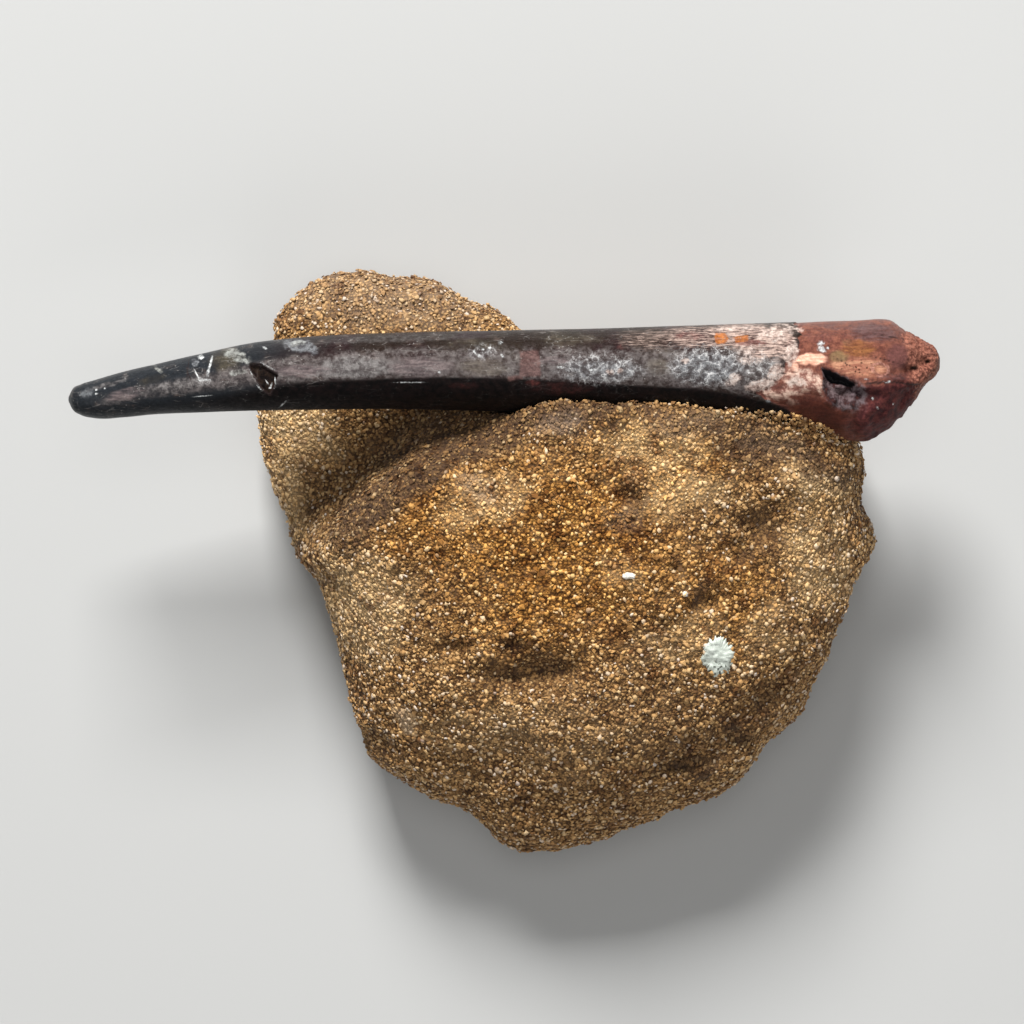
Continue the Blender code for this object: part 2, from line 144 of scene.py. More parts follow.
# The enamel's broken edge: y on the upper side, and x of the edge there.
ENAMEL_EDGE = [
    (14, 35), (18, 34.9), (18.7, 33.4), (19.5, 31.6), (20.3, 30.4), (20.9, 31.5), (21.8, 32.7),
    (23, 33.6), (24.9, 34.7), (26.2, 35.3), (27.4, 35.7), (29.5, 35.2),
]
UNDERSIDE_EDGE_X = 34.0
ENAMEL_STEP = 0.2
ENAMEL_STEP_REACH = 2.2
EDGE_BLUR = 0.15
LOW_EDGE_BLUR = 1.1
LOW_EDGE_Y = 19.6

# Where the lit crown turns into its lower flank, painted black as shade: x, the height up the
# flank as a share of the half width, and how black it gets. Towards the tip the change is blurred.
FLANK_LINE = [
    (-53, -0.55, 0.1), (-46, -0.45, 0.3), (-40, -0.36, 0.45), (-33, -0.3, 0.65), (-26, -0.2, 0.85),
    (-17, -0.22, 1), (-8, -0.17, 1), (0, -0.17, 1), (7, -0.23, 1), (12, -0.29, 1), (19, -0.35, 1),
    (24, -0.37, 1), (28, -0.45, 1), (34.5, -0.62, 1), (60, -0.7, 1),
]
FLANK_EDGE = (-0.08, 0.14)
FLANK_BLUR = 2.5
FLANK_BLUR_X = (14.0, 40.0)
# The pale band along the crown, paler enamel with a painted highlight: x, its middle and its
# half width, as shares.
CROWN_BAND_AND_HIGHLIGHT = [
    (-50, -0.35, 0.2), (-45, -0.12, 0.28), (-38, -0.08, 0.28), (-30, 0, 0.3), (-22, 0.1, 0.34),
    (-10, 0.12, 0.34), (4, 0.1, 0.36), (14, 0.05, 0.38), (24, 0, 0.42), (34, 0, 0.45),
]
BAND_UPPER_REACH = 1.18
TIP_BAND_X = (-51.5, -46.5)
FULL_BAND_X = (-44.0, -26.0)
TIPWARD_X = (14.0, 34.0)
LOW_FACE_X = (41.5, 45.0)
SPONGE_COLOUR_X = (49.0, 50.5)

# Marks as soft ovals: x, y, half length, half width, turn, strength.
OVALS = {
    "olive": [
        (-33.6, 24.4, 2.2, 1.8, 8, 0.8), (8.3, 26.9, 4.6, 1.4, 0, 0.5), (0.8, 24.8, 2.6, 1.7, 0, 0.6),
        (19, 24.6, 2.4, 1.3, 0, 0.7), (-4, 26.2, 3.4, 1, 0, 0.5), (-42.5, 22, 2, 0.7, 14, 0.5),
    ],
    # Grey patches in the crown's pale band, partly the enamel's colour and partly painted sheen; the
    # long thin strip along the upper edge is a painted rim highlight.
    "grey_and_painted_sheen": [
        (-18, 23.4, 5, 1.4, 0, 1), (-39.2, 21.3, 4.5, 0.8, 8, 0.6), (-12, 27, 14, 0.6, 2, 0.3),
        (30.6, 24.2, 2.6, 1.8, 0, 0.7), (-48, 21.4, 3, 0.35, 16, 0.5),
    ],
    # Pinkish patches in the crown's pale band, partly the enamel's colour and partly a painted
    # highlight.
    "pink_and_painted_highlight": [
        (-45.6, 20.2, 2.6, 0.75, 12, 0.8), (-24.2, 23, 3.6, 0.8, 0, 0.85),
        (-10, 23.4, 4.4, 1.4, 0, 0.75), (6, 24.2, 2.6, 0.5, 0, 0.6),
    ],
    "beige": [(-2.5, 23.4, 3.4, 1.2, 0, 0.7), (18.6, 23.4, 1.8, 1.2, 0, 0.6)],
    "frost": [
        (-50.4, 20.4, 1.2, 0.7, 20, 0.45), (-24.7, 26.1, 2, 0.85, -6, 1),
        (-23, 25.5, 0.9, 0.7, -30, 0.8), (-37.4, 24.1, 0.45, 0.5, 0, 0.8),
        (24.6, 23.3, 4.8, 2.2, 0, 0.75), (11.7, 23, 5.6, 1.6, 0, 0.6), (32.6, 19.5, 1.1, 0.45, 15, 0.8),
        (24.5, 19.7, 1.2, 0.3, -20, 0.4), (-3, 25.3, 1.8, 1.2, 0, 0.3),
    ],
    "web": [
        (11.7, 23.3, 5.8, 2.2, 0, 0.75), (24.8, 23.6, 5.2, 2.7, 0, 1), (30.6, 23.2, 2.4, 2.4, 0, 0.7),
        (-36.3, 21.9, 1.5, 0.7, 0, 0.5), (-2.4, 25.3, 2.2, 1.3, 0, 0.5),
    ],
    "lace": [
        (-32.2, 24.9, 1.8, 0.75, -24, 1), (-31.9, 22.9, 1.1, 0.42, 4, 0.9),
        (-41.8, 23.3, 0.65, 0.32, -38, 1), (-42.7, 23.8, 0.8, 0.14, 4, 0.8),
        (-24.9, 26.4, 1.1, 0.42, 6, 0.8),
    ],
    "chalk": [
        (34.6, 25, 0.9, 1.7, -18, 1), (34, 28.2, 2.6, 0.9, 0, 0.5), (31, 21.2, 2, 0.8, 10, 1),
        (32.8, 22.8, 1.3, 1, 40, 1), (32.4, 27.4, 2.6, 1.2, 0, 0.5), (28.4, 28.2, 4.6, 0.45, 2, 0.5),
        (29.6, 24.9, 2.2, 1.6, 0, 0.55), (12.8, 22.8, 0.6, 0.42, -30, 0.7),
        (14, 23, 0.5, 0.36, 20, 0.65), (21.8, 24.2, 0.7, 0.5, 10, 0.6), (27.6, 21.9, 1.3, 0.8, 30, 0.6),
        (35.3, 21.7, 1.4, 1.1, 0, 0.6),
    ],
    "streak": [
        (18.5, 26.8, 6, 1.6, 0, 0.32), (23.5, 27.2, 5.5, 1.6, 0, 0.55), (28.5, 27.3, 5.5, 1.8, 0, 0.8),
        (32, 26.4, 3.4, 2.2, 0, 0.9),
    ],
    "red": [
        (29.8, 26.4, 1.9, 0.36, -3, 1.4), (-4.8, 21.2, 2.4, 0.6, 0, 0.3),
        (3.4, 21.5, 1.2, 0.45, 0, 0.5), (7, 20.9, 5, 1, 0, 0.3), (22.4, 27.3, 2.2, 0.6, 0, 0.6),
        (14, 25.8, 0.6, 0.4, 0, 0.5), (34.4, 26.4, 0.9, 0.35, 60, 0.4), (49.4, 27.4, 0.9, 0.45, -30, 1),
    ],
    # A pale orange painted highlight on the root's red-brown bone.
    "peach_painted_highlight": [(37, 24.4, 2, 0.85, 0, 1), (35, 23.4, 0.7, 1.2, 0, 0.6)],
    "salmon": [(43.2, 23.4, 3.2, 1.2, 0, 1), (40.6, 23.6, 1.6, 0.5, -12, 0.8)],
    "ochre": [(42.7, 25.6, 2.3, 1.1, 0, 0.95), (52.4, 22.6, 0.9, 2.2, -25, 0.9)],
    "moss": [(40.3, 24.7, 1.3, 0.9, 0, 0.9), (41.4, 26.4, 0.8, 0.6, 0, 0.5)],
    "lilac": [
        (44.7, 27.7, 3.6, 1.3, -2, 0.95), (39.9, 28.4, 2, 0.5, 0, 0.5), (47, 22.3, 2.4, 0.5, 0, 0.6),
    ],
    "maroon": [(47.5, 24.8, 1.6, 2, 0, 0.9), (38.2, 26.9, 2.2, 1, 0, 0.4)],
    "cream": [
        (36, 21.9, 2.6, 1.4, -12, 0.9), (38.2, 20.8, 0.5, 1.2, 10, 0.8), (34.6, 20.6, 1.8, 0.8, 0, 0.8),
        (32.6, 20, 1.8, 0.7, -12, 0.9), (34.8, 19.2, 1.2, 0.5, -10, 0.7),
    ],
    "plum": [
        (46, 18.6, 5.6, 3, 38, 1), (44.4, 20.3, 3.6, 1.1, 0, 0.95), (48.6, 20.6, 2.4, 0.9, 20, 0.9),
    ],
    "liver": [(38, 17.6, 4.6, 2.6, -20, 1), (33.6, 18.6, 2.2, 1.4, 0, 0.8)],
    "rubble": [(41.2, 20.1, 2.8, 2.1, -10, 1), (43.2, 18.8, 1.1, 0.9, 0, 0.35)],
    "spongy": [(51.2, 24.2, 2.6, 4, 0, 1), (49.6, 26.6, 1.8, 1.4, -35, 0.8)],
    "pores": [(42.6, 23.3, 2.4, 1, 0, 1), (42.8, 25.2, 2, 0.8, 0, 0.5)],
}
ON_ENAMEL = ("olive", "grey_and_painted_sheen", "pink_and_painted_highlight", "beige", "web", "streak", "lace")
ON_ROOT = ("lilac", "maroon", "moss", "ochre", "salmon", "plum", "liver", "rubble", "pores")
OVAL_EDGE = (0.4, 1.35)
# Noise that makes the marks' edges uneven, by size, height and seed.
WAVE = [(1.1, 1, 3)]
CROSS_WAVE = [(0.9, 1, 6)]
JAG = [(0.45, 1, 9)]
FLAKES = [(0.55, 1, 33)]
FLAKE_CLUSTERS = [(1.6, 1, 35)]

# Small marks: x, y, half length, half width, turn.
RING = (45.3, 23.2, 1.0, 0.72, -10)
DARK_HOLES = [(49.5, 23.4, 0.5, 0.32, 10), (51.2, 24.3, 0.35, 0.24, 0), (-28.4, 21.2, 0.6, 0.7, 20)]
# White flecks and scratches, with painted glints in the chip, along the crease and on the root's lower
# face.
FLECKS_AND_GLINTS = [
    (-49.25, 20.76, 0.13, 0.12, 0), (-49.25, 20.29, 0.15, 0.14, 0), (-48.3, 20.97, 0.1, 0.09, 0),
    (-36.7, 24.75, 0.34, 0.27, 0), (-35.4, 24.1, 0.75, 0.11, 80), (-35.7, 22.9, 0.5, 0.16, 82),
    (-36.2, 21.95, 0.8, 0.08, 0), (-37, 22.5, 0.7, 0.05, -62), (-28.9, 25.85, 0.24, 0.11, -20),
    (-36.2, 20, 0.8, 0.045, 4), (-26.7, 19.1, 0.45, 0.06, 40), (-3.5, 25.3, 0.22, 0.12, -60),
    (-2.5, 25.6, 0.16, 0.14, 40), (-1.7, 25.8, 0.16, 0.12, 0), (-0.4, 26.4, 0.28, 0.15, 20),
    (-0.15, 24.8, 0.22, 0.11, -50), (-3, 24.8, 0.18, 0.12, 30), (-7.75, 22.85, 0.14, 0.13, 0),
    (-11.4, 21.65, 1, 0.012, 0), (6.8, 23.4, 0.34, 0.12, 0), (10.7, 23.1, 0.45, 0.12, 0),
    (38.2, 26.3, 0.4, 0.24, 10), (38.3, 25.6, 0.48, 0.3, -8), (39, 25.8, 0.2, 0.16, 0),
    (44.4, 19.6, 0.17, 0.13, 0), (45, 18.7, 0.14, 0.11, 0), (46.2, 21.7, 0.5, 0.08, 4),
    (47, 19.1, 0.12, 0.1, 0), (43.6, 21.9, 0.3, 0.06, 0), (-28.2, 20.9, 0.16, 0.07, 30),
    (-27.6, 21.9, 0.06, 0.4, 0), (-28.5, 21.5, 0.3, 0.045, -58), (-28.05, 21.2, 0.24, 0.045, 66),
    (-28.5, 23.6, 0.7, 0.05, -28), (-29.5, 21, 0.3, 0.05, -45),
]
CRACKS = [
    (2, 25.6, 2, 0.05, -25), (-38.2, 23.2, 1.4, 0.04, 86), (-37.9, 22.2, 1.2, 0.04, -70),
    (34, 22.7, 1.6, 0.06, 6), (36, 20.4, 2.6, 0.07, -6), (46, 24.3, 1.6, 0.06, -14),
    (46.5, 27.2, 1.9, 0.05, -8), (41, 24, 1.3, 0.05, -30), (30.2, 21.9, 1.2, 0.06, -4),
    (28, 25.4, 2.6, 0.06, 2), (-28.7, 23.1, 0.9, 0.07, -36), (-29.6, 22.4, 0.8, 0.06, -62),
]
SMALL_OVAL_REACH = 1.7
SMALL_OVAL_MARGIN = 0.04

# ---- the stone ----
BODY_VOXEL = 0.48
BODY_SMOOTHING = 5
BODY_LUMPS = [(2.4, 0.26, 31), (1.2, 0.17, 37)]
BASE_FLAT_Z = 0.6
FULL_RELIEF_Z = 3.0
ABOVE_ALL_Z = 60.0
# Pits in the stone's upper side: x, y, half length, half width, turn, height.
STONE_PITS = [
    (30.4, 3.8, 2.8, 2, 0, -1), (28.6, 0.8, 1.3, 1.2, 0, -0.7), (24.8, -5, 2, 1, 20, -0.8),
    (15.1, 7.9, 1.6, 1, 0, -0.7), (28.9, -21.9, 2.2, 1.1, 0, -0.9), (32.6, -16.9, 1.8, 1.5, 0, -0.8),
    (22.6, -25, 5, 1, 14, -1), (3.8, -13.5, 5.4, 1.1, 4, -1), (-15.5, -22.5, 2.6, 1.1, -30, -0.8),
    (14.8, 4.8, 2, 0.6, 0, -0.5), (20.6, -1, 1.1, 0.7, 0, -0.6), (1, -10, 1.4, 0.8, 0, -0.5),
    (-6, -10.5, 3, 0.8, 10, -0.6), (10, -20, 2.4, 0.7, -8, -0.5),
]
# Where the stone laps up over the root: the top of the bank of grains, x and y.
BANK_LINE = [
    (27, 18.7), (30.7, 18.3), (33.4, 18), (35.5, 17.7), (37.6, 17), (39.5, 16.1), (41.3, 15),
    (42.9, 14.2),
]
BANK_SPACING = 0.26
BANK_WIDTH = 2.6
BANK_SLOPE = 0.8
BANK_NORMAL = (0.0, -0.5, 0.87)

# Kinds of sand grain: share of all, mean radius, form.
GRAIN_KINDS = {
    "quartz_grains": (0.18, 0.2, "pebble"),
    "amber_grains": (0.32, 0.235, "block"),
    "umber_grains": (0.5, 0.245, "shard"),
}
BALL_STEPS = {"pebble": 1, "ball": 3}
BLOCK_SIZE = 1.25
SHARD_CORNERS = [(-1, 0, 0), (0, -1, 0), (0, 0, -1), (1, 0, 0), (0, 1, 0), (0, 0, 1)]
# A grain sits at most points of the stone's mesh, moved by up to a share of its spacing.
GRAIN_SEED = 41
GRAIN_SHARE = 0.92
GRAIN_JITTER = 0.42
GRAIN_SINK = 0.14
GRAIN_FLATTENING = 0.45
CORNER_REACH = 0.28
CORNER_SLIP = 0.2
PROPORTIONS = (0.6, 1.4)
RADIUS_SPREAD = 0.3
RADIUS_LIMITS = (0.6, 1.5)
DEPTH_SPREAD = (-0.5, 0.25)
TINT_SPREAD = (0.35, 1.5)
# Grains lean to the darker kinds where shade is painted and the stone is darker, and to the paler kinds
# where light is painted.
DARK_LEANING = 0.22
# Single large white grains: x, y, half length, half width.
WHITE_GRAINS = [(15.1, -1.7, 0.85, 0.42), (21.9, -3.9, 0.4, 0.35)]
WHITE_ROUGHNESS = 0.35
WHITE_ROUGH_SCALE = 1.7

# Tints of the stone by place: x, y, half length, half width, turn, strength.
GOLDEN = [
    (6, 1, 16, 13, 10, 1), (18.5, 12, 9, 6.5, 0, 1), (-6, 4.5, 9, 6, 20, 0.9), (26, -4, 9, 8, 0, 0.6),
]
# Paler sand, partly painted light: the patches left of the tooth and along the lip by the root are
# brightened to stand in for light.
PALE_AND_PAINTED_LIGHT = [
    (18.5, 14.2, 6.5, 3.2, 0, 1), (-26, 17, 5, 3.5, 0, 1), (-14, 32, 13, 4, 0, 0.15),
    (-2, 7, 6, 3, 20, 0.6), (14, -1.5, 3, 2.4, 0, 0.5), (38, 0, 5, 7, 0, 0.8),
    (-12.1, -19.2, 1.6, 0.9, 0, 1), (22, -9, 6, 3, 20, 0.5), (4, -22, 14, 6, 0, 0.2),
    (-18, -5.5, 6.5, 7, 20, 1), (37.6, 9.6, 4, 2.4, -8, 1), (-27.5, 8.5, 4, 6.5, 12, 1),
    (33, -9, 4, 4, 0, 0.5), (-2, -20, 9, 3, 10, 0.35), (-25, 14.5, 5, 2.6, 0, 1),
    (21, 9, 8, 3.5, -10, 0.7), (21.5, 17.2, 7, 1.8, 0, 0.2), (33, 14.4, 5, 2.2, -20, 0.15),
]
GREY = [
    (7.6, 16.4, 3.6, 1.8, 0, 1), (14.8, 6, 1.8, 1.8, 0, 0.5), (-12.1, -19.2, 1.4, 0.9, 0, 1),
    (-3, 8.6, 1.8, 1, 0, 0.6), (-14, 34, 16, 6, 0, 0.55), (21.5, 17.2, 7, 1.8, 0, 0.4),
    (33, 14.4, 5, 2.2, -20, 0.4),
]
# Mostly painted shade, some darker stone: the tooth's cast shadow below it, shade in the pits and
# hollows, and slopes turned from the light.
DARK_AND_SHADE = [
    (30.4, 3.6, 3.2, 2.6, 0, 0.5), (28.9, 0.6, 1.8, 1.8, 0, 0.9), (24.8, -5, 2.2, 1.3, 20, 0.9),
    (15.1, 7.9, 1.8, 1.2, 0, 0.8), (28.9, -21.9, 2.2, 1.4, 0, 1), (32.6, -16.9, 2, 1.8, 0, 0.8),
    (22.6, -25, 5.4, 1.5, 14, 0.9), (19, -19.5, 10, 5, -15, 0.3), (-15.5, -22.5, 2.8, 1.5, -30, 0.6),
    (3.8, -13.5, 6.2, 1.7, 4, 0.6), (31, 13.8, 7, 2.6, -10, 1), (-20, -18, 3, 6, -12, 0.3),
    (-8.5, 11.8, 15, 2.8, 30, 2), (-19.5, 3.6, 5, 2, 38, 0.7), (-10.5, 15.6, 6, 2.4, 14, 0.8),
    (1, -10, 1.4, 1.1, 0, 0.8), (20.6, -1, 1.2, 0.9, 0, 0.6), (-2.5, 17.6, 11, 2.4, 8, 0.6),
    (14.8, 4.8, 2.2, 0.8, 0, 0.6), (-6.5, 14, 4.2, 1.8, 12, 0.9), (9.5, 17.8, 10, 1.8, 0, 1.1),
    (25, 17.4, 9, 1.5, -5, 0.6), (38.2, 11.8, 6, 2.4, -32, 1), (30, 2, 3.4, 3, 0, 0.5),
    (-12, 13.2, 5, 2, 25, 0.9), (-1, 14.2, 5, 1.6, 15, 1), (-3, -3.6, 6, 3.4, 0, 0.25),
    (6, -20.6, 7, 2.6, 0, 0.25),
]
# Noise in the tints, each layer by size, height and seed.
WANDER_X = [(4.5, 2.2, 51)]
WANDER_Y = [(4.5, 2.2, 57)]
SPECKLING = [(1.6, 0.35, 61)]
MOTTLING = [(0.9, 0.8, 71), (2.4, 0.8, 75), (6.5, 0.5, 77)]

# The white dab: its middle, its half sizes along x and y, and how far it stands proud.
DAB_CENTRE = (25.95, -11.5)
DAB_HALF = (1.95, 2.35)
DAB_RISE = 0.38
DAB_RINGS = 30
DAB_SIDES = 160
DAB_SEED = 5
DAB_RAGGEDNESS = 0.2
DAB_JITTER = 0.04
DAB_GRAIN = 0.5
DAB_GRAIN_HEIGHT = 0.1
DAB_GRAIN_LEVEL = 1.5
WORN_BELOW_Y = -11.6
# Layers of the dab's ragged edge: how closely its teeth are set, level in the noise, height.
DAB_TEETH = [(3.0, 4.0, 1.0), (9.0, 8.0, 0.8)]

# ---- colours (linear) ----
ENAMEL_SLATE = (0.015, 0.017, 0.02)
ENAMEL_BROWN = (0.015, 0.009, 0.0065)
ENAMEL_PLUM = (0.016, 0.0065, 0.0075)
SMUDGE = (0.05, 0.036, 0.03)
BAND_SMUDGE = (1.9, 1.9, 1.9)
SPECKLE = (0.26, 0.245, 0.23)
WEB_THREAD = (0.47, 0.46, 0.45)
DENTINE = (0.185, 0.068, 0.044)
DENTINE_DEEP = (0.1, 0.034, 0.025)
PORE = (0.06, 0.022, 0.015)
PLUM_CLOUD_SIZE = 5.0
WEB_MESH = 1.05
FINE_WEB_MESH = 0.5
SCRATCH_SPACING = 0.9
DOT_SPACING = 0.5
PORE_SPACING = 0.5
TOOTH_BUMP = 0.12

# Layers of the tooth's colour, from the bottom up: mask, texture that breaks it up, how
# strongly, how soft its edge is, two colours it varies between, and how much shows.
CROWN_LAYERS = [
    ("olive", "cloud", 1.6, 0.45, (0.06, 0.05, 0.034), (0.032, 0.026, 0.019), 0.75),
    # The crown's pale band: paler enamel with a painted highlight.
    ("band", "mottle", 2.6, 0.46, (0.126, 0.108, 0.103), (0.046, 0.034, 0.032), 0.8),
]
MARK_LAYERS = [
    ("beige", "streak", 1.7, 0.45, (0.13, 0.108, 0.086), (0.078, 0.062, 0.048), 0.75),
    # Grey patches, partly painted sheen.
    ("grey_and_painted_sheen", "mottle", 2.4, 0.45, (0.185, 0.172, 0.165), (0.074, 0.064, 0.062), 0.8),
    # Pinkish patches, partly a painted highlight.
    ("pink_and_painted_highlight", "streak", 2.6, 0.45, (0.16, 0.124, 0.12), (0.08, 0.06, 0.062), 0.8),
    ("frost", "mottle", 3, 0.42, (0.215, 0.222, 0.23), (0.07, 0.07, 0.075), 0.75),
    ("streak", "fine", 5.5, 0.45, (0.45, 0.33, 0.275), (0.1, 0.055, 0.045), 0.88),
    # The lower flank's shade, painted near black.
    ("flank_painted_shade", "mottle", 0.6, 0.3, (0.0012, 0.0008, 0.0009), (0.006, 0.0028, 0.0026), 0.98),
    ("red", "mottle", 2.2, 0.4, (0.14, 0.04, 0.034), (0.08, 0.026, 0.022), 0.65),
    ("blush", "mottle", 1.8, 0.45, (0.15, 0.078, 0.068), (0.085, 0.042, 0.038), 0.7),
    ("root", "mottle", 0.5, 0.3, DENTINE, DENTINE_DEEP, 1),
    ("lilac", "streak", 1.6, 0.45, (0.1, 0.058, 0.056), (0.062, 0.03, 0.029), 0.85),
    ("maroon", "cloud", 1.2, 0.4, (0.12, 0.048, 0.043), (0.086, 0.034, 0.031), 0.85),
    ("moss", "cloud", 1.6, 0.45, (0.19, 0.125, 0.06), (0.12, 0.07, 0.038), 0.8),
    ("ochre", "streak", 2.2, 0.48, (0.255, 0.104, 0.036), (0.14, 0.051, 0.022), 0.75),
    ("salmon", "streak", 1.4, 0.45, (0.43, 0.215, 0.13), (0.27, 0.105, 0.066), 0.85),
    # The pale orange painted highlight on the root.
    ("peach_painted_highlight", "streak", 1, 0.3, (0.82, 0.48, 0.35), (0.62, 0.32, 0.22), 0.92),
    ("cream", "mottle", 2.6, 0.4, (0.6, 0.42, 0.33), (0.23, 0.105, 0.08), 0.88),
    ("liver", "cloud", 0.9, 0.45, (0.078, 0.021, 0.013), (0.05, 0.013, 0.009), 0.95),
    ("plum", "mottle", 1.2, 0.45, (0.094, 0.025, 0.023), (0.03, 0.007, 0.009), 0.95),
    ("rubble", "mottle", 3, 0.3, (0.12, 0.098, 0.104), (0.014, 0.008, 0.01), 0.85),
    ("spongy", "grit", 2.4, 0.4, (0.29, 0.12, 0.08), (0.105, 0.034, 0.024), 0.85),
    ("lace", "mottle", 4.6, 0.4, (0.33, 0.335, 0.31), (0.12, 0.116, 0.104), 0.75),
    ("chalk", "mottle", 3.8, 0.32, (0.56, 0.45, 0.39), (0.23, 0.155, 0.13), 0.88),
    ("orange", "mottle", 1.8, 0.45, (0.39, 0.122, 0.018), (0.235, 0.066, 0.014), 0.86),
    ("pit", "mottle", 1.2, 0.3, (0.003, 0.002, 0.002), (0.02, 0.012, 0.008), 0.98),
    ("hole", "grit", 0.5, 0.2, (0.005, 0.005, 0.006), (0.008, 0.008, 0.01), 0.98),
    ("crack", "grit", 1, 0.3, (0.014, 0.008, 0.008), (0.026, 0.014, 0.012), 0.8),
    ("ring", "grit", 1.6, 0.3, (0.38, 0.19, 0.15), (0.2, 0.08, 0.06), 0.6),
    # White flecks and painted glints.
    ("fleck_and_painted_glint", "grit", 3, 0.34, (0.52, 0.53, 0.52), (0.26, 0.265, 0.26), 0.9),
]

# Each kind of grain's colours, from its darkest grain at 0 to its palest at 1.
GRAIN_COLOURS = {
    "quartz_grains": [
        (0, (0.59, 0.39, 0.19)), (0.35, (0.73, 0.52, 0.29)), (0.8, (0.79, 0.6, 0.39)),
        (1, (0.82, 0.665, 0.48)),
    ],
    "amber_grains": [
        (0, (0.48, 0.246, 0.08)), (0.4, (0.66, 0.374, 0.132)), (0.8, (0.75, 0.468, 0.192)),
        (1, (0.81, 0.56, 0.275)),
    ],
    "umber_grains": [
        (0, (0.13, 0.06, 0.022)), (0.25, (0.29, 0.14, 0.045)), (0.7, (0.49, 0.258, 0.082)),
        (1, (0.64, 0.375, 0.14)),
    ],
}
MATRIX_GRAIN = 0.34
MATRIX_COLOURS = [
    (0, (0.125, 0.059, 0.018)), (0.45, (0.262, 0.129, 0.039)), (0.8, (0.41, 0.221, 0.073)),
    (1, (0.54, 0.338, 0.136)),
]
# The dark between the matrix's grains: darker cement and painted shade.
GAP_CEMENT_AND_SHADE = (0.074, 0.034, 0.013)
IRON_STAIN = (0.33, 0.16, 0.045)
BROWNER = (0.8, 0.85, 1.01)
YELLOWER = (1.0, 0.89, 0.64)
MOTTLED = (0.48, 0.4, 0.37)
# The colour that paler sand and painted light mix towards.
PALE_SAND = (0.85, 0.6, 0.31)
GREY_SAND = (0.3, 0.225, 0.17)
# The colour that the painted shade and the darker stone mix towards.
SHADE_AND_DARK_SAND = (0.06, 0.036, 0.024)
GRAIN_PALING = 0.52
GAP_PALING = 0.3
GREYING = 0.5
DARKENING = 0.68
STRONGEST_TINT = 1.2
QUARTZ_GREY = (0.56, 0.5, 0.4)
QUARTZ_WHITE = (0.86, 0.84, 0.78)
DAB_PALE = (0.65, 0.695, 0.615)
DAB_DULL = (0.44, 0.48, 0.42)
DAB_FLECK = (0.06, 0.065, 0.05)
FLOOR_COLOUR = (0.44, 0.44, 0.43)
# Places of the colour sockets of a mix node.
COLOUR_A = 6
COLOUR_B = 7
MIXED_COLOUR = 2

# ---- view and light ----
CAMERA_PLACE = (1.0, 6.0, 542.8)
CAMERA_LENS = 150.0
SENSOR_WIDTH = 36.0
FLOOR_HALF = 1500.0
KEY_AIM = (5.0, 5.0, 15.0)
KEY_DISTANCE = 1100.0
KEY_TURN = 101.0
KEY_ELEVATION = 37.0
KEY_SIZE = (380.0, 380.0)
KEY_POWER = 24.5
TOP_PLACE = (0.0, 60.0, 900.0)
TOP_AIM = (0.0, 60.0, 0.0)
TOP_SIZE = (380.0, 620.0)
TOP_POWER = 1.9
FILL_PLACE = (250.0, -620.0, 560.0)
FILL_SIZE = (500.0, 500.0)
FILL_POWER = 2.3
WORLD_STRENGTH = 0.11
WORLD_COLOUR = (0.95, 0.97, 1.0)
BACKDROP_COLOUR = (0.72, 0.72, 0.71)


# ---- shapes: shared functions ----
def smooth(value, low, high):
    """0 up to low, 1 from high on, and a smooth change between; low may be the larger."""
    t = np.clip((value - low) / (high - low), 0.0, 1.0)
    return t * t * (3.0 - 2.0 * t)


def through_points(x, xs, ys):
    """The heights at x of a smooth curve through the points (xs, ys)."""
    slopes = np.gradient(ys, xs)
    i = np.clip(np.searchsorted(xs, x) - 1, 0, len(xs) - 2)
    span = xs[i + 1] - xs[i]
    t = np.clip((x - xs[i]) / span, 0.0, 1.0)
    bend = (1.0 - t) * slopes[i] - t * slopes[i + 1]
    return ys[i] + (ys[i + 1] - ys[i]) * smooth(t, 0.0, 1.0) + t * (1.0 - t) * span * bend


def noise_at(points, size, seed=0.0):
    """Smooth noise at each point; size is the size of its lumps."""
    places = points / size + np.array((seed, -seed, 2.0 * seed))
    return np.array([noise.noise(place) for place in places.tolist()])


def lumps(points, layers):
    """Noise summed from layers of size, height and seed."""
    return sum(height * noise_at(points, size, seed) for size, height, seed in layers)


def oval_distance(x, y, cx, cy, length, width, turn):
    """Distance from an oval's centre, as a share of the way to its edge."""
    a = math.radians(turn)
    along = ((x - cx) * math.cos(a) + (y - cy) * math.sin(a)) / length
    across = ((y - cy) * math.cos(a) - (x - cx) * math.sin(a)) / width
    return np.hypot(along, across)


def mound(x, y, features):
    """The summed height at (x, y) of oval swellings and hollows."""
    total = np.zeros_like(x)
    for *oval, height in features:
        total += height * np.exp(-oval_distance(x, y, *oval) ** 3)
    return total


def soft_ovals(x, y, table):
    """The strongest of the table's soft-edged ovals at each point."""
    total = np.zeros_like(x)
    for *oval, strength in table:
        share = oval_distance(x, y, *oval)
        total = np.maximum(total, strength * (1.0 - smooth(share, *OVAL_EDGE)))
    return total


def small_ovals(x, y, table):
    """1 at the middle of the table's ovals, falling steadily to 0 past their edges."""
    total = np.zeros_like(x)
    for oval in table:
        reach = SMALL_OVAL_REACH + SMALL_OVAL_MARGIN / oval[3]
        total = np.maximum(total, 1.0 - oval_distance(x, y, *oval) / reach)
    return total


def inside_outline(x, y, outline):
    """Distance in from a closed outline, negative outside it."""
    within = np.zeros(x.shape, bool)
    for (ax, ay), (bx, by) in zip(outline, outline[1:] + outline[:1]):
        crosses = (ay > y) != (by > y)
        within ^= crosses & (x < (bx - ax) * (y - ay) / ((by - ay) or 1.0) + ax)
    near = off_line(x, y, outline + outline[:1])
    return np.where(within, near, -near)


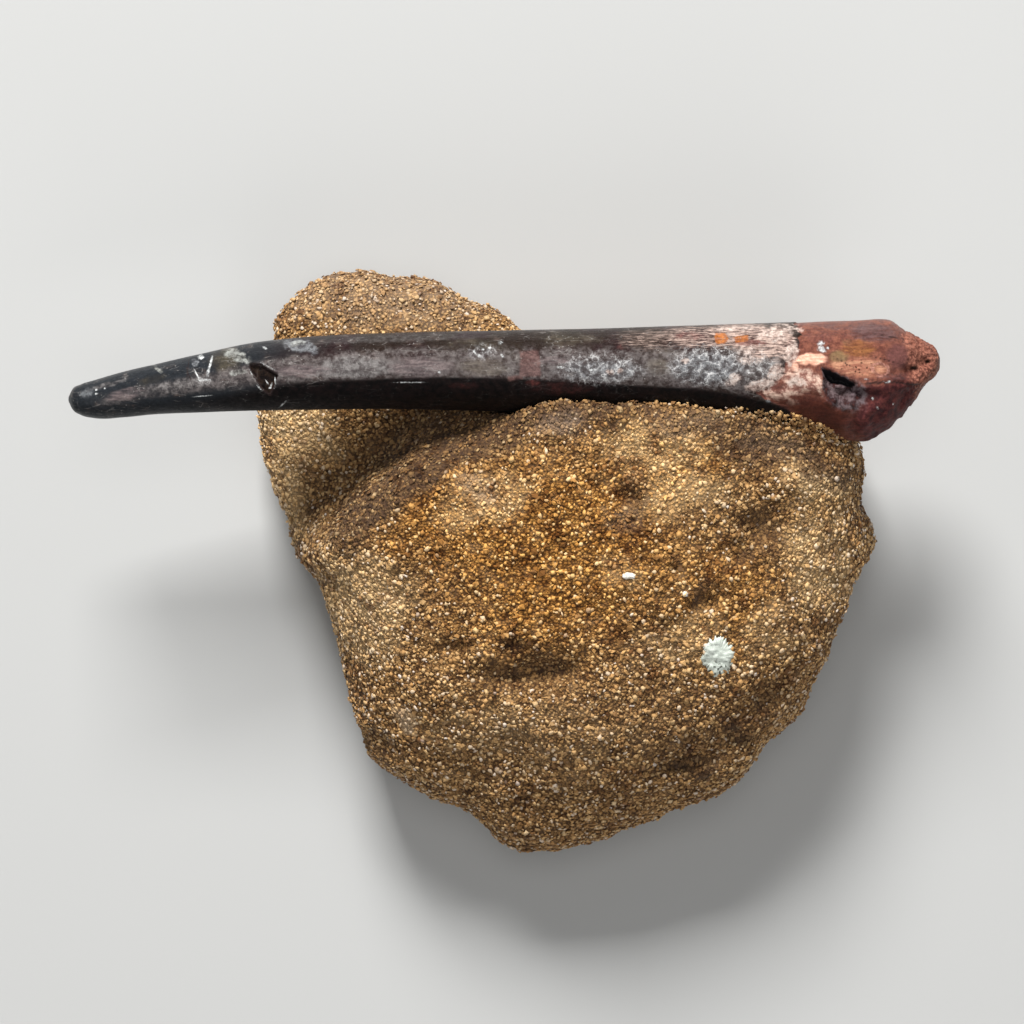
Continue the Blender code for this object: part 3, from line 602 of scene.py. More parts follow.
def off_line(x, y, line):
    """Distance from an open line through the points."""
    near = np.full_like(x, np.inf)
    for (ax, ay), (bx, by) in zip(line, line[1:]):
        dx, dy = bx - ax, by - ay
        t = np.clip(((x - ax) * dx + (y - ay) * dy) / (dx * dx + dy * dy), 0.0, 1.0)
        near = np.minimum(near, np.hypot(x - ax - t * dx, y - ay - t * dy))
    return near


def in_patches(x, y, outlines, soft):
    """1 inside any of the outlines, 0 outside, with an edge of the given softness."""
    inside = [smooth(inside_outline(x, y, outline), -soft, soft) for outline in outlines]
    return np.maximum.reduce(inside)


def inside_cad(points):
    """The points, moved into the CAD model's box where they leave it."""
    low, high = (np.array(corner) / MM for corner in CAD_BOX)
    return np.clip(points, low, high)


def ring_faces(rings, sides):
    """Index of the points of a tube of closed rings, and the faces between the rings."""
    index = np.arange(rings * sides).reshape(rings, sides)
    along = np.roll(index, -1, axis=1)
    faces = np.stack([index[:-1], along[:-1], along[1:], index[1:]], axis=2)
    return index, faces.reshape(-1, 4)


def read(collection, key, width, kind=np.float32):
    """One value of every element of a mesh collection, as rows of width numbers."""
    values = np.empty(len(collection) * width, kind)
    collection.foreach_get(key, values)
    return values.reshape(-1, width)


def link_new(name, data):
    """A new object of the scene, for the data given."""
    made = bpy.data.objects.new(name, data)
    bpy.context.scene.collection.objects.link(made)
    return made


def make_object(name, points, faces, material, uv, attributes=None, flat=False):
    """An object of a mesh given in millimetres, with float attributes for its material."""
    mesh = bpy.data.meshes.new(name)
    mesh.from_pydata((points * MM).tolist(), [], faces.tolist(), shade_flat=flat)
    layer = mesh.uv_layers.new(name="OFBake")
    layer.data.foreach_set("uv", np.asarray(uv, np.float32).ravel())
    for key, values in (attributes or {}).items():
        layer = mesh.attributes.new(key, "FLOAT", "POINT")
        layer.data.foreach_set("value", np.asarray(values, np.float32))
    mesh.materials.append(material)
    return link_new(name, mesh)


def flat_uv(points, faces):
    """UVs seen from above: upward faces on the left half of the square, the rest right."""
    low, high = points.min(axis=0), points.max(axis=0)
    share = (points - low) / (high - low)
    corners = points[faces]
    upward = np.cross(corners[:, 1] - corners[:, 0], corners[:, 2] - corners[:, 0])[:, 2] > 0.0
    uv = share[faces][:, :, :2] * np.array((0.49, 1.0))
    uv[~upward, :, 0] += 0.51
    return uv


# ---- materials: node graphs ----
def put(tree, socket, value):
    """Gives a socket a value, or links it to the output given."""
    if isinstance(value, bpy.types.NodeSocket):
        tree.links.new(value, socket)
    elif socket.type == "RGBA":
        socket.default_value = (*value, 1.0)
    else:
        socket.default_value = value


def add_node(tree, kind, inputs, output=0, **settings):
    """Adds a node with its inputs, by position or name, and returns one of its outputs."""
    node = tree.nodes.new("ShaderNode" + kind)
    for key, value in settings.items():
        setattr(node, key, value)
    for key, value in inputs.items():
        put(tree, node.inputs[key], value)
    return node.outputs[output]


class Graph:
    """A material's nodes. Each call adds one and returns its output; values may be outputs."""

    def __init__(self, name):
        self.material = bpy.data.materials.new(name)
        self.material.use_nodes = True
        self.tree = self.material.node_tree
        self.shader = self.tree.nodes["Principled BSDF"]
        self.place = self.add("TexCoord", {}, "Object")

    def add(self, kind, inputs, output=0, **settings):
        return add_node(self.tree, kind, inputs, output, **settings)

    def math(self, operation, *values):
        return self.add("Math", dict(enumerate(values)), operation=operation)

    def times(self, a, b):
        return self.math("MULTIPLY", a, b)

    def line(self, value, slope, start):
        """value * slope + start."""
        return self.math("MULTIPLY_ADD", value, slope, start)

    def most(self, a, b):
        return self.math("MAXIMUM", a, b)

    def inverse(self, value):
        return self.math("SUBTRACT", 1.0, value)

    def stretch(self, vector, scale):
        return self.add("VectorMath", {0: vector, 1: scale}, operation="MULTIPLY")

    def warp(self, vector, size, amount, detail=2.0):
        """The vector pushed about by noise of the given size, by up to amount millimetres."""
        push = self.noise(self.place, size, detail, output="Color")
        inputs = {0: push, 1: (amount * MM,) * 3, 2: vector}
        return self.add("VectorMath", inputs, operation="MULTIPLY_ADD")

    def noise(self, vector, size, detail=3.0, roughness=0.55, output="Fac"):
        inputs = {"Vector": vector, "Scale": 1.0 / (size * MM), "Detail": detail, "Roughness": roughness}
        return self.add("TexNoise", inputs, output)

    def cells(self, vector, size, feature="F1", output="Distance"):
        inputs = {"Vector": vector, "Scale": 1.0 / (size * MM)}
        return self.add("TexVoronoi", inputs, output, feature=feature)

    def step(self, value, low, high, start=0.0, end=1.0):
        """start up to low, end from high on, and a smooth change between."""
        inputs = {"Value": value, "From Min": low, "From Max": high, "To Min": start, "To Max": end}
        return self.add("MapRange", inputs, "Result", interpolation_type="SMOOTHSTEP")

    def mix(self, factor, a, b, blend="MIX"):
        inputs = {0: factor, COLOUR_A: a, COLOUR_B: b}
        return self.add("Mix", inputs, MIXED_COLOUR, data_type="RGBA", blend_type=blend)

    def tint(self, colour, factors):
        """The colour with each channel multiplied."""
        return self.mix(1.0, colour, factors, "MULTIPLY")

    def ramp(self, value, stops):
        node = self.tree.nodes.new("ShaderNodeValToRGB")
        elements = node.color_ramp.elements
        while len(elements) < len(stops):
            elements.new(0.5)
        for element, (position, colour) in zip(elements, stops):
            element.position = position
            element.color = (*colour, 1.0)
        put(self.tree, node.inputs["Fac"], value)
        return node.outputs["Color"]

    def mask(self, name):
        return self.add("Attribute", {}, "Fac", attribute_name=name)

    def bump(self, height, depth):
        """Bump from a height of 0 to 1 that stands for depth millimetres."""
        inputs = {"Distance": depth * MM, "Height": height}
        put(self.tree, self.shader.inputs["Normal"], self.add("Bump", inputs, "Normal"))

    def finish(self, colour, roughness, specular=0.5):
        values = {"Base Color": colour, "Roughness": roughness, "Specular IOR Level": specular}
        for key, value in values.items():
            put(self.tree, self.shader.inputs[key], value)
        return self.material


def tooth_textures(g, warped):
    """Patterns that break up the tooth's colours; the first two are drawn out along it."""
    return {
        "streak": g.noise(g.stretch(warped, (0.11, 1.0, 1.0)), 0.36, 5.0, 0.62),
        "fine": g.noise(g.stretch(warped, (0.12, 1.0, 1.0)), 0.20, 5.0, 0.72),
        "mottle": g.noise(warped, 0.8, 6.0, 0.68),
        "cloud": g.noise(warped, 2.0, 6.0, 0.62),
        "grit": g.noise(g.place, 0.34, 4.0, 0.68),
    }


def enamel_ground(g, warped):
    """Brown enamel with plum clouds, turning to slate towards the tip."""
    base = g.mix(g.mask("tipward"), ENAMEL_BROWN, ENAMEL_SLATE)
    cloud = g.step(g.noise(warped, PLUM_CLOUD_SIZE, 3.0), 0.42, 0.62)
    return g.mix(g.times(cloud, g.inverse(g.mask("tipward"))), base, ENAMEL_PLUM)


def lay_marks(g, base, layers, textures, swings):
    """Lays marks over a colour, each broken up by its texture."""
    for mask, texture, breakup, softness, colour, other, amount in layers:
        edge = g.times(g.mask(mask), g.line(swings[texture], breakup, 1.0))
        factor = g.times(g.step(edge, 0.5 - softness, 0.5 + softness), amount)
        base = g.mix(factor, base, g.mix(g.step(textures[texture], 0.38, 0.62), other, colour))
    return base


def web_threads(g, textures):
    """Threads of a coarse and a fine net, now thick and now thin, inside the web mask."""
    coarse = g.cells(g.warp(g.place, 0.7, 0.9, 3.0), WEB_MESH, "DISTANCE_TO_EDGE")
    fine = g.cells(g.warp(g.place, 0.4, 0.6), FINE_WEB_MESH, "DISTANCE_TO_EDGE")
    width = g.line(textures["mottle"], 0.36, -0.12)
    net = g.most(g.step(coarse, width, 0.0), g.times(g.step(fine, width, 0.0), 0.6))
    broken = g.step(textures["mottle"], 0.38, 0.60)
    return g.times(net, g.times(g.step(g.mask("web"), 0.1, 0.8), broken))


def worn_specks(g, warped, textures):
    """Fine scratches and dots, worn into the lit enamel alone."""
    drawn_out = g.stretch(warped, (0.3, 1.0, 1.0))
    scratch = g.step(g.cells(drawn_out, SCRATCH_SPACING, "DISTANCE_TO_EDGE"), 0.035, 0.0)
    scratch = g.times(g.times(scratch, g.step(textures["cloud"], 0.47, 0.64)), 0.6)
    dots = g.step(g.cells(g.place, DOT_SPACING), 0.20, 0.08)
    dots = g.times(dots, g.step(textures["cloud"], 0.44, 0.62))
    lit = g.inverse(g.times(g.most(g.mask("flank_painted_shade"), g.mask("pit")), 0.85))
    return g.times(g.times(g.most(scratch, dots), lit), g.inverse(g.mask("root")))


def tooth_roughness(g, textures):
    """Satin enamel, and dull chalk, bone, the flank painted black as shade, and hollows."""
    dull = g.mask("chalk")
    for mask in ("spongy", "pit", "flank_painted_shade", "plum", "rubble"):
        dull = g.most(dull, g.mask(mask))
    roughness = g.line(g.step(textures["mottle"], 0.3, 0.7), 0.14, 0.29)
    roughness = g.line(g.step(dull, 0.2, 0.8), 0.30, roughness)
    return g.line(g.mask("pit"), 0.25, roughness)


def tooth_bump(g, textures, threads, pores):
    relief = g.line(textures["grit"], 0.35, g.times(textures["streak"], 0.5))
    for height, share in ((textures["mottle"], 0.5), (threads, 0.25), (pores, -0.8)):
        relief = g.line(height, share, relief)
    g.bump(relief, TOOTH_BUMP)


def tooth_material():
    g = Graph("fossil_enamel")
    warped = g.warp(g.place, 2.5, 0.7)
    textures = tooth_textures(g, warped)
    swings = {key: g.math("SUBTRACT", value, 0.5) for key, value in textures.items()}
    smudge = g.times(g.step(textures["cloud"], 0.50, 0.70), g.step(textures["streak"], 0.40, 0.62))
    base = g.mix(g.times(smudge, 0.75), enamel_ground(g, warped), SMUDGE)
    base = lay_marks(g, base, CROWN_LAYERS, textures, swings)
    base = g.mix(g.times(smudge, 0.5), base, g.tint(base, BAND_SMUDGE))
    base = lay_marks(g, base, MARK_LAYERS, textures, swings)

    threads = web_threads(g, textures)
    base = g.mix(g.times(threads, 0.90), base, WEB_THREAD)
    base = g.mix(g.times(worn_specks(g, warped, textures), 0.75), base, SPECKLE)
    shade = g.times(g.line(swings["grit"], 1.5, 1.0), g.line(swings["fine"], 0.9, 1.0))
    base = g.tint(base, shade)
    pores = g.step(g.cells(g.warp(g.place, 0.5, 0.3), PORE_SPACING), 0.30, 0.14)
    pores = g.times(pores, g.mask("pores"))
    base = g.mix(g.times(pores, 0.85), base, PORE)
    tooth_bump(g, textures, threads, pores)
    return g.finish(base, tooth_roughness(g, textures), 0.25)


def place_tint(g, colour, paling):
    """Shifts a colour of the stone by its place: golden, pale, grey, dark and mottled areas; the pale is
    partly painted light, the dark mostly painted shade.
    """
    colour = g.mix(g.mask("golden"), g.tint(colour, BROWNER), g.tint(colour, YELLOWER))
    # Paler sand, partly painted light.
    pale = g.math("MINIMUM", g.mask("pale"), STRONGEST_TINT)
    colour = g.mix(g.times(pale, paling), colour, PALE_SAND)
    colour = g.mix(g.times(g.mask("grey"), GREYING), colour, GREY_SAND)
    # Painted shade, with darker patches of stone.
    colour = g.mix(g.times(g.mask("dark"), DARKENING), colour, SHADE_AND_DARK_SAND)
    mottle = g.math("MINIMUM", g.mask("mottle"), STRONGEST_TINT)
    return g.mix(mottle, colour, g.tint(colour, MOTTLED))


def grain_material(kind):
    g = Graph(kind)
    colour = g.ramp(g.mask("tone"), GRAIN_COLOURS[kind])
    stain = g.noise(g.place, 0.5, 2.0)
    colour = g.mix(g.step(stain, 0.45, 0.75, 0.0, 0.4), colour, IRON_STAIN)
    g.bump(g.noise(g.place, 0.12, 2.0), 0.05)
    roughness = g.step(stain, 0.3, 0.7, 0.5, 0.75)
    return g.finish(place_tint(g, colour, GRAIN_PALING), roughness, 0.3)


def matrix_material():
    g = Graph("sandstone_matrix")
    grains = g.cells(g.place, MATRIX_GRAIN)
    colour = g.ramp(g.cells(g.place, MATRIX_GRAIN, output="Color"), MATRIX_COLOURS)
    # Painted shade and darker cement between the matrix's grains.
    colour = g.mix(g.step(grains, 0.34, 0.73), colour, GAP_CEMENT_AND_SHADE)
    g.bump(g.inverse(grains), 0.25)
    return g.finish(place_tint(g, colour, GAP_PALING), 0.85, 0.3)


def dab_material():
    g = Graph("white_dab")
    brush = g.noise(g.stretch(g.place, (0.3, 1.0, 1.0)), 0.32, 4.0, 0.6)
    colour = g.mix(g.step(brush, 0.35, 0.7), DAB_PALE, DAB_DULL)
    flecks = g.times(g.step(g.noise(g.place, 0.42, 2.0), 0.56, 0.64), g.mask("worn"))
    g.bump(brush, 0.08)
    return g.finish(g.mix(flecks, colour, DAB_FLECK), 0.6, 0.4)


def quartz_material():
    g = Graph("white_quartz")
    cloud = g.noise(g.place, 0.35, 4.0, 0.6)
    g.bump(cloud, 0.06)
    return g.finish(g.mix(g.step(cloud, 0.35, 0.65), QUARTZ_GREY, QUARTZ_WHITE), 0.4)


# ---- the tooth ----
def tooth_section(x):
    """Centre y, centre z, half height and half depth of the tooth at x."""
    low = through_points(x, FORM_X, FORM_LOW)
    high = through_points(x, FORM_X, FORM_HIGH)
    axis_z = TOOTH_AXIS_Z - ROOT_AXIS_DROP * smooth(x, ROOT_START_X, ROOT_START_X + ROOT_LENGTH)
    return (low + high) / 2.0, axis_z, (high - low) / 2.0, through_points(x, FORM_X, FORM_DEPTH)


def enamel_lead(x, y, upper, wander):
    """How far the enamel still reaches past a point towards the root, along X."""
    edge_y, edge_x = np.array(ENAMEL_EDGE).T
    edge = np.where(upper, np.interp(y, edge_y, edge_x), UNDERSIDE_EDGE_X)
    return edge + wander - x


def below_crease(x, y):
    """How far a point lies below the root's crease, on its lower face."""
    line_x, line_y = np.array(CREASE).T
    return np.interp(x, line_x, line_y) - y


def painted_flank_shade(x, angle, share):
    """How black the shade painted on the tooth's lower flank and underside is."""
    line_x, line_share, strength = np.array(FLANK_LINE).T
    below = np.interp(x, line_x, line_share) - share
    below = smooth(below / (1.0 + FLANK_BLUR * smooth(-x, *FLANK_BLUR_X)), *FLANK_EDGE)
    beneath = np.maximum(smooth(-np.sin(angle), 0.15, 0.45) * smooth(share, 0.95, 0.5),
                         smooth(-share, 0.2, 0.4))
    return np.where(np.sin(angle) > 0.0, below, beneath) * np.interp(x, line_x, strength)


def band_with_painted_highlight(x, share):
    """The pale band along the crown, paler enamel with a painted highlight, which grows faint towards
    the tip.
    """
    band_x, middle, half = np.array(CROWN_BAND_AND_HIGHLIGHT).T
    off = (share - np.interp(x, band_x, middle)) / np.interp(x, band_x, half)
    off = np.where(off > 0.0, off / BAND_UPPER_REACH, -off)
    strength = 0.5 * smooth(x, *TIP_BAND_X) + 0.5 * smooth(x, *FULL_BAND_X)
    return (1.0 - smooth(off, 0.3, 1.6)) * strength


def tooth_cuts(x, y, wave, jag):
    """How far inside the chip, the cavity and the hole each point lies, negative outside."""
    return (
        inside_outline(x + 0.10 * jag, y + 0.06 * wave, CHIP),
        inside_outline(x + 0.3 * wave, y + 0.25 * jag, CAVITY),
        inside_outline(x + 0.15 * wave, y + 0.12 * jag, HOLE),
    )


def oval_masks(x, y, root):
    """The masks of OVALS, each kept to the enamel or to the root where it belongs to one."""
    masks = {key: soft_ovals(x, y, table) for key, table in OVALS.items()}
    for key in ON_ENAMEL:
        masks[key] *= 1.0 - root
    for key in ON_ROOT:
        masks[key] *= root
    return masks


def tooth_masks(points, angle, share):
    """The masks that the colours of the tooth follow, the enamel's lead, and the cuts."""
    x, y, _ = points.T
    wave = lumps(points, WAVE)
    jag = lumps(points, JAG)
    wx = x + 0.30 * wave + 0.12 * jag
    wy = y + 0.22 * lumps(points, CROSS_WAVE) + 0.10 * jag
    lead = enamel_lead(x, y, np.sin(angle) > 0.0, 0.55 * wave + 0.35 * jag)
    blur = EDGE_BLUR + LOW_EDGE_BLUR * smooth(LOW_EDGE_Y - y, 0.0, 1.0)
    root = smooth(lead, blur, -blur)
    cuts = tooth_cuts(x, y, wave, jag)
    chip, cavity, hole = cuts

    masks = oval_masks(wx, wy, root)
    # The pale band, partly a painted highlight.
    masks["band"] = band_with_painted_highlight(x, share)
    low_face = smooth(below_crease(x, y), 0.1, 0.6) * smooth(x, *LOW_FACE_X)
    masks["plum"] = np.maximum(masks["plum"], low_face)
    masks["spongy"] = np.maximum(masks["spongy"], smooth(x, *SPONGE_COLOUR_X))
    masks["orange"] = in_patches(x + 0.14 * jag, y + 0.10 * wave, ORANGE_PATCHES, 0.16)
    masks["blush"] = in_patches(x + 0.2 * jag, y + 0.2 * wave, BLUSH_PATCHES, 0.3)
    masks["pit"] = np.maximum(smooth(chip, -0.02, 0.2), small_ovals(x, y, DARK_HOLES))
    masks["hole"] = smooth(hole, -0.05, 0.25)
    masks["rubble"] = np.maximum(masks["rubble"], smooth(cavity, -0.2, 0.3))
    masks["ring"] = 1.0 - smooth(np.abs(oval_distance(wx, wy, *RING) - 1.0), 0.08, 0.35)
    # The chip's pale rim joins the flecks and painted glints.
    chip_rim = np.maximum(0.0, 1.0 - np.abs(chip + 0.06) / 0.12) * (0.35 + 0.9 * wave)
    masks["fleck_and_painted_glint"] = np.maximum(small_ovals(x, y, FLECKS_AND_GLINTS), chip_rim)
    crease = off_line(x, y + 0.12 * jag, CREASE)
    dark_line = 1.0 - smooth(np.minimum(crease, np.abs(chip - 0.05)), 0.05, 0.2)
    masks["crack"] = np.maximum(small_ovals(x, y, CRACKS), 0.9 * dark_line)

    facing = smooth(np.sin(angle), -0.05, 0.12)
    masks = {key: mask * facing for key, mask in masks.items()}
    masks["lilac"] = np.maximum(masks["lilac"], 0.7 * (1.0 - facing) * root)
    masks["root"] = root
    # Shade painted black on the lower flank and underside, but not on the root.
    masks["flank_painted_shade"] = painted_flank_shade(x, angle, share) * (1.0 - root)
    masks["tipward"] = smooth(-x, *TIPWARD_X)
    return masks, lead, cuts


def root_relief(points):
    """Lumps of the root and of its broken end, less the open pores of the break."""
    x = points[:, 0]
    relief = smooth(x, *ROOT_LUMPS_X) * lumps(points, ROOT_LUMPS)
    relief += smooth(x, *BREAK_LUMPS_X) * lumps(points, BREAK_LUMPS)
    pores = sum(share * np.abs(noise_at(points, size, seed)) for size, share, seed in SPONGE_PORES)
    return relief, SPONGE_DEPTH * smooth(x, *SPONGE_X) * pores


def tooth_relief(points, out, masks, lead, cuts):
    """How far each point of the plain tooth moves outwards."""
    x, y, _ = points.T
    chip, cavity, hole = cuts
    facing = np.maximum(out[:, 2], 0.0)
    relief, sponge = root_relief(points)
    relief *= 1.0 - UPPER_EDGE_CALM * np.maximum(out[:, 1], 0.0) ** 2
    relief += facing * mound(x, y, TOOTH_RELIEF) - sponge
    relief -= ENAMEL_STEP * masks["root"] * np.exp(-np.maximum(-lead, 0.0) / ENAMEL_STEP_REACH)
    chip_depth = CHIP_DEPTH * (1.0 + CHIP_SLOPE * (y - CHIP_Y))
    for depth, inside, wall in ((chip_depth, chip, CHIP_WALL), (CAVITY_DEPTH, cavity, CAVITY_WALL),
                                (HOLE_DEPTH, hole, HOLE_WALL)):
        relief -= facing * depth * smooth(inside, *wall)
    relief -= facing * CREASE_DEPTH * (1.0 - smooth(off_line(x, y, CREASE), *CREASE_WALL))
    relief += masks["rubble"] * lumps(points, RUBBLE_LUMPS) + masks["plum"] * lumps(points, PLUM_LUMPS)
    flakes = lumps(points, FLAKES) * (0.5 + lumps(points, FLAKE_CLUSTERS))
    relief += FLAKE_HEIGHT * masks["chalk"] * flakes
    return relief + lumps(points * np.array(FLUTE_STRETCH), FLUTES)


def tooth_uv():
    """UVs that unroll the tooth's rings into a square."""
    u, v = np.meshgrid(np.arange(TOOTH_RINGS - 1), np.arange(TOOTH_SIDES), indexing="ij")
    return np.stack([np.stack([u, u, u + 1, u + 1], axis=2) / TOOTH_RINGS,
                     np.stack([v, v + 1, v + 1, v], axis=2) / TOOTH_SIDES], axis=3)


def make_tooth():
    steps = (np.arange(TOOTH_RINGS) + 0.5) / TOOTH_RINGS
    eased = steps - END_CROWDING * np.sin(2.0 * np.pi * steps)
    turn = 2.0 * np.pi * np.arange(TOOTH_SIDES) / TOOTH_SIDES
    x = np.repeat(FORM_X[0] + (FORM_X[-1] - FORM_X[0]) * eased, TOOTH_SIDES)
    angle = np.tile(turn + TOP_CROWDING * np.cos(turn), TOOTH_RINGS)
    y, z, half_height, half_depth = tooth_section(x)
    out = np.stack([np.zeros_like(x), np.cos(angle), np.sin(angle)], axis=1)
    points = np.stack([x, y + half_height * out[:, 1], z + half_depth * out[:, 2]], axis=1)
    masks, lead, cuts = tooth_masks(points, angle, out[:, 1])
    relief = np.minimum(tooth_relief(points, out, masks, lead, cuts), TALLEST_SHARE * half_depth)
    points = inside_cad(points + out * relief[:, None])
    index, faces = ring_faces(TOOTH_RINGS, TOOTH_SIDES)
    made = make_object("spinosaurus_tooth", points, faces, tooth_material(), tooth_uv(), masks)
    close_ends(made, index)
    return made


def close_ends(made, index):
    """Fills the tooth's first and last ring, which are too small to show."""
    bm = bmesh.new()
    bm.from_mesh(made.data)
    bm.verts.ensure_lookup_table()
    for ring in (index[0], index[-1][::-1]):
        bm.faces.new([bm.verts[i] for i in ring.tolist()])
    bmesh.ops.recalc_face_normals(bm, faces=bm.faces)
    bm.to_mesh(made.data)
    bm.free()


# ---- the stone ----
def mesh_arrays(mesh):
    """The mesh's points in millimetres, and their normals."""
    points = read(mesh.vertices, "co", 3).astype(float) / MM
    return points, read(mesh.vertices, "normal", 3).astype(float)


def eased_points(points, edges):
    """The points drawn towards their neighbours, all but those of the flat base."""
    count = np.bincount(edges.ravel(), minlength=len(points))[:, None]
    on_base = points[:, 2:] < BASE_FLAT_Z
    for _ in range(BODY_SMOOTHING):
        total = np.zeros_like(points)
        np.add.at(total, edges[:, 0], points[edges[:, 1]])
        np.add.at(total, edges[:, 1], points[edges[:, 0]])
        points = np.where(on_base, points, (points + total / count) / 2.0)
    return points


def stone_surface():
    """The CAD stone as a fine even mesh: its points, normals and faces."""
    draft = link_new("stone_draft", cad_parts["sandstone_matrix"].data.copy())
    remesh = draft.modifiers.new("remesh", "REMESH")
    remesh.mode = "VOXEL"
    remesh.voxel_size = BODY_VOXEL * MM
    evaluated = draft.evaluated_get(bpy.context.evaluated_depsgraph_get())
    mesh = bpy.data.meshes.new_from_object(evaluated)
    bpy.data.objects.remove(draft)
    points, _ = mesh_arrays(mesh)
    points = eased_points(points, read(mesh.edges, "vertices", 2, np.int32))
    mesh.vertices.foreach_set("co", (points * MM).astype(np.float32).ravel())
    mesh.update()
    points, normals = mesh_arrays(mesh)
    faces = read(mesh.polygons, "vertices", 4, np.int32)
    bpy.data.meshes.remove(mesh)
    return points, normals, faces


def tooth_gap(points):
    """Distance of each point from the tooth's surface, negative inside it."""
    y, z, half_height, half_depth = tooth_section(points[:, 0])
    share = np.hypot((points[:, 1] - y) / half_height, (points[:, 2] - z) / half_depth)
    past_end = np.maximum(0.0, np.abs(points[:, 0]) - FORM_X[-1])
    return (share - 1.0) * np.minimum(half_height, half_depth) + past_end


def root_bank():
    """Places and normals of the grains banked against the root."""
    line_x, line_y = np.array(BANK_LINE).T
    x, back = np.meshgrid(np.arange(line_x[0], line_x[-1], BANK_SPACING),
                          np.arange(0.0, BANK_WIDTH, BANK_SPACING))
    x, back = x.ravel(), back.ravel()
    top_y = np.interp(x, line_x, line_y)
    y, z, half_height, half_depth = tooth_section(x)
    share = np.clip((top_y - y) / half_height, -1.0, 1.0)
    top_z = z + half_depth * np.sqrt(1.0 - share**2)
    points = np.stack([x, top_y - back, top_z - BANK_SLOPE * back], axis=1)
    return points, np.tile(BANK_NORMAL, (len(x), 1))


def stone_tints(points):
    """How golden, pale, grey, dark and mottled the stone is at each point; pale is partly painted light,
    dark mostly painted shade.
    """
    x = points[:, 0] + lumps(points, WANDER_X)
    y = points[:, 1] + lumps(points, WANDER_Y)
    speckle = lumps(points, SPECKLING)
    return {
        "golden": np.clip(soft_ovals(x, y, GOLDEN) + 2.0 * speckle, 0.0, 1.0),
        "pale": np.clip(soft_ovals(x, y, PALE_AND_PAINTED_LIGHT) + speckle, 0.0, 1.0),
        "grey": np.clip(soft_ovals(x, y, GREY) + 0.6 * speckle, 0.0, 1.0),
        "dark": np.clip(soft_ovals(x, y, DARK_AND_SHADE) * (1.0 + 2.0 * speckle), 0.0, 1.0),
        "mottle": smooth(lumps(points, MOTTLING), 0.1, 0.75),
    }


def make_stone_body(points, normals, faces, tints):
    """The lump itself, with low relief everywhere but on its flat base."""
    rise = smooth(points[:, 2], BASE_FLAT_Z, FULL_RELIEF_Z)
    amount = -GRAIN_SINK + lumps(points, BODY_LUMPS) + mound(points[:, 0], points[:, 1], STONE_PITS)
    moved = inside_cad(points + normals * (amount * rise)[:, None])
    body = make_object("sandstone_body", moved, faces, matrix_material(), flat_uv(moved, faces), tints)
    return body, moved


def unit_shape(form):
    """Corners and triangles of one grain: a 20-sided pebble, a ball, a block or a shard."""
    bm = bmesh.new()
    if form == "block":
        bmesh.ops.create_cube(bm, size=BLOCK_SIZE)
    elif form == "shard":
        for corner in SHARD_CORNERS:
            bm.verts.new(corner)
        bmesh.ops.convex_hull(bm, input=bm.verts)
    else:
        bmesh.ops.create_icosphere(bm, subdivisions=BALL_STEPS[form], radius=1.0)
    bmesh.ops.triangulate(bm, faces=bm.faces)
    bm.verts.index_update()
    corners = np.array([vert.co[:] for vert in bm.verts])
    faces = np.array([[vert.index for vert in face.verts] for face in bm.faces])
    bm.free()
    return corners, faces


def random_turns(rng, count):
    """Random rotation matrices."""
    quaternion = rng.normal(size=(4, count))
    w, x, y, z = quaternion / np.linalg.norm(quaternion, axis=0)
    return np.stack([
        np.stack([1 - 2 * (y * y + z * z), 2 * (x * y - z * w), 2 * (x * z + y * w)], axis=1),
        np.stack([2 * (x * y + z * w), 1 - 2 * (x * x + z * z), 2 * (y * z - x * w)], axis=1),
        np.stack([2 * (x * z - y * w), 2 * (y * z + x * w), 1 - 2 * (x * x + y * y)], axis=1),
    ], axis=1)


def random_shapes(rng, corners, normals):
    """Grains of random form, each turned at random and flattened along its normal."""
    count, per = len(normals), len(corners)
    shapes = corners[None] * (1.0 + CORNER_REACH * rng.uniform(-1.0, 1.0, (count, per, 1)))
    shapes = shapes + CORNER_SLIP * rng.uniform(-1.0, 1.0, (count, per, 3))
    shapes = shapes * rng.uniform(*PROPORTIONS, (count, 1, 3))
    shapes = np.einsum("nij,npj->npi", random_turns(rng, count), shapes)
    height = np.einsum("npj,nj->np", shapes, normals)
    return shapes - GRAIN_FLATTENING * height[:, :, None] * normals[:, None]


def make_grains(kind, form, rng, centres, normals, radii, tints):
    """All the grains of one kind, each with its own tone and its own cell of the UV square."""
    corners, faces = unit_shape(form)
    count, per = len(centres), len(corners)
    shapes = random_shapes(rng, corners, normals)
    points = inside_cad((centres[:, None] + shapes * radii[:, None, None]).reshape(-1, 3))
    cell = math.ceil(math.sqrt(count))
    number = np.arange(count)
    corner_uv = 0.5 + corners[:, :2] / (3.0 * np.abs(corners).max())
    uv = np.stack([number % cell, number // cell], axis=1)[:, None, None] + corner_uv[faces][None]
    all_faces = (faces[None] + (number * per)[:, None, None]).reshape(-1, 3)
    masks = {key: np.repeat(values, per) for key, values in tints.items()}
    masks["tone"] = np.repeat(rng.uniform(0.0, 1.0, count), per)
    for key in ("dark", "pale", "mottle"):
        masks[key] *= np.repeat(rng.uniform(*TINT_SPREAD, count), per)
    flat = form == "shard"
    return make_object(kind, points, all_faces, grain_material(kind), uv / cell, masks, flat)


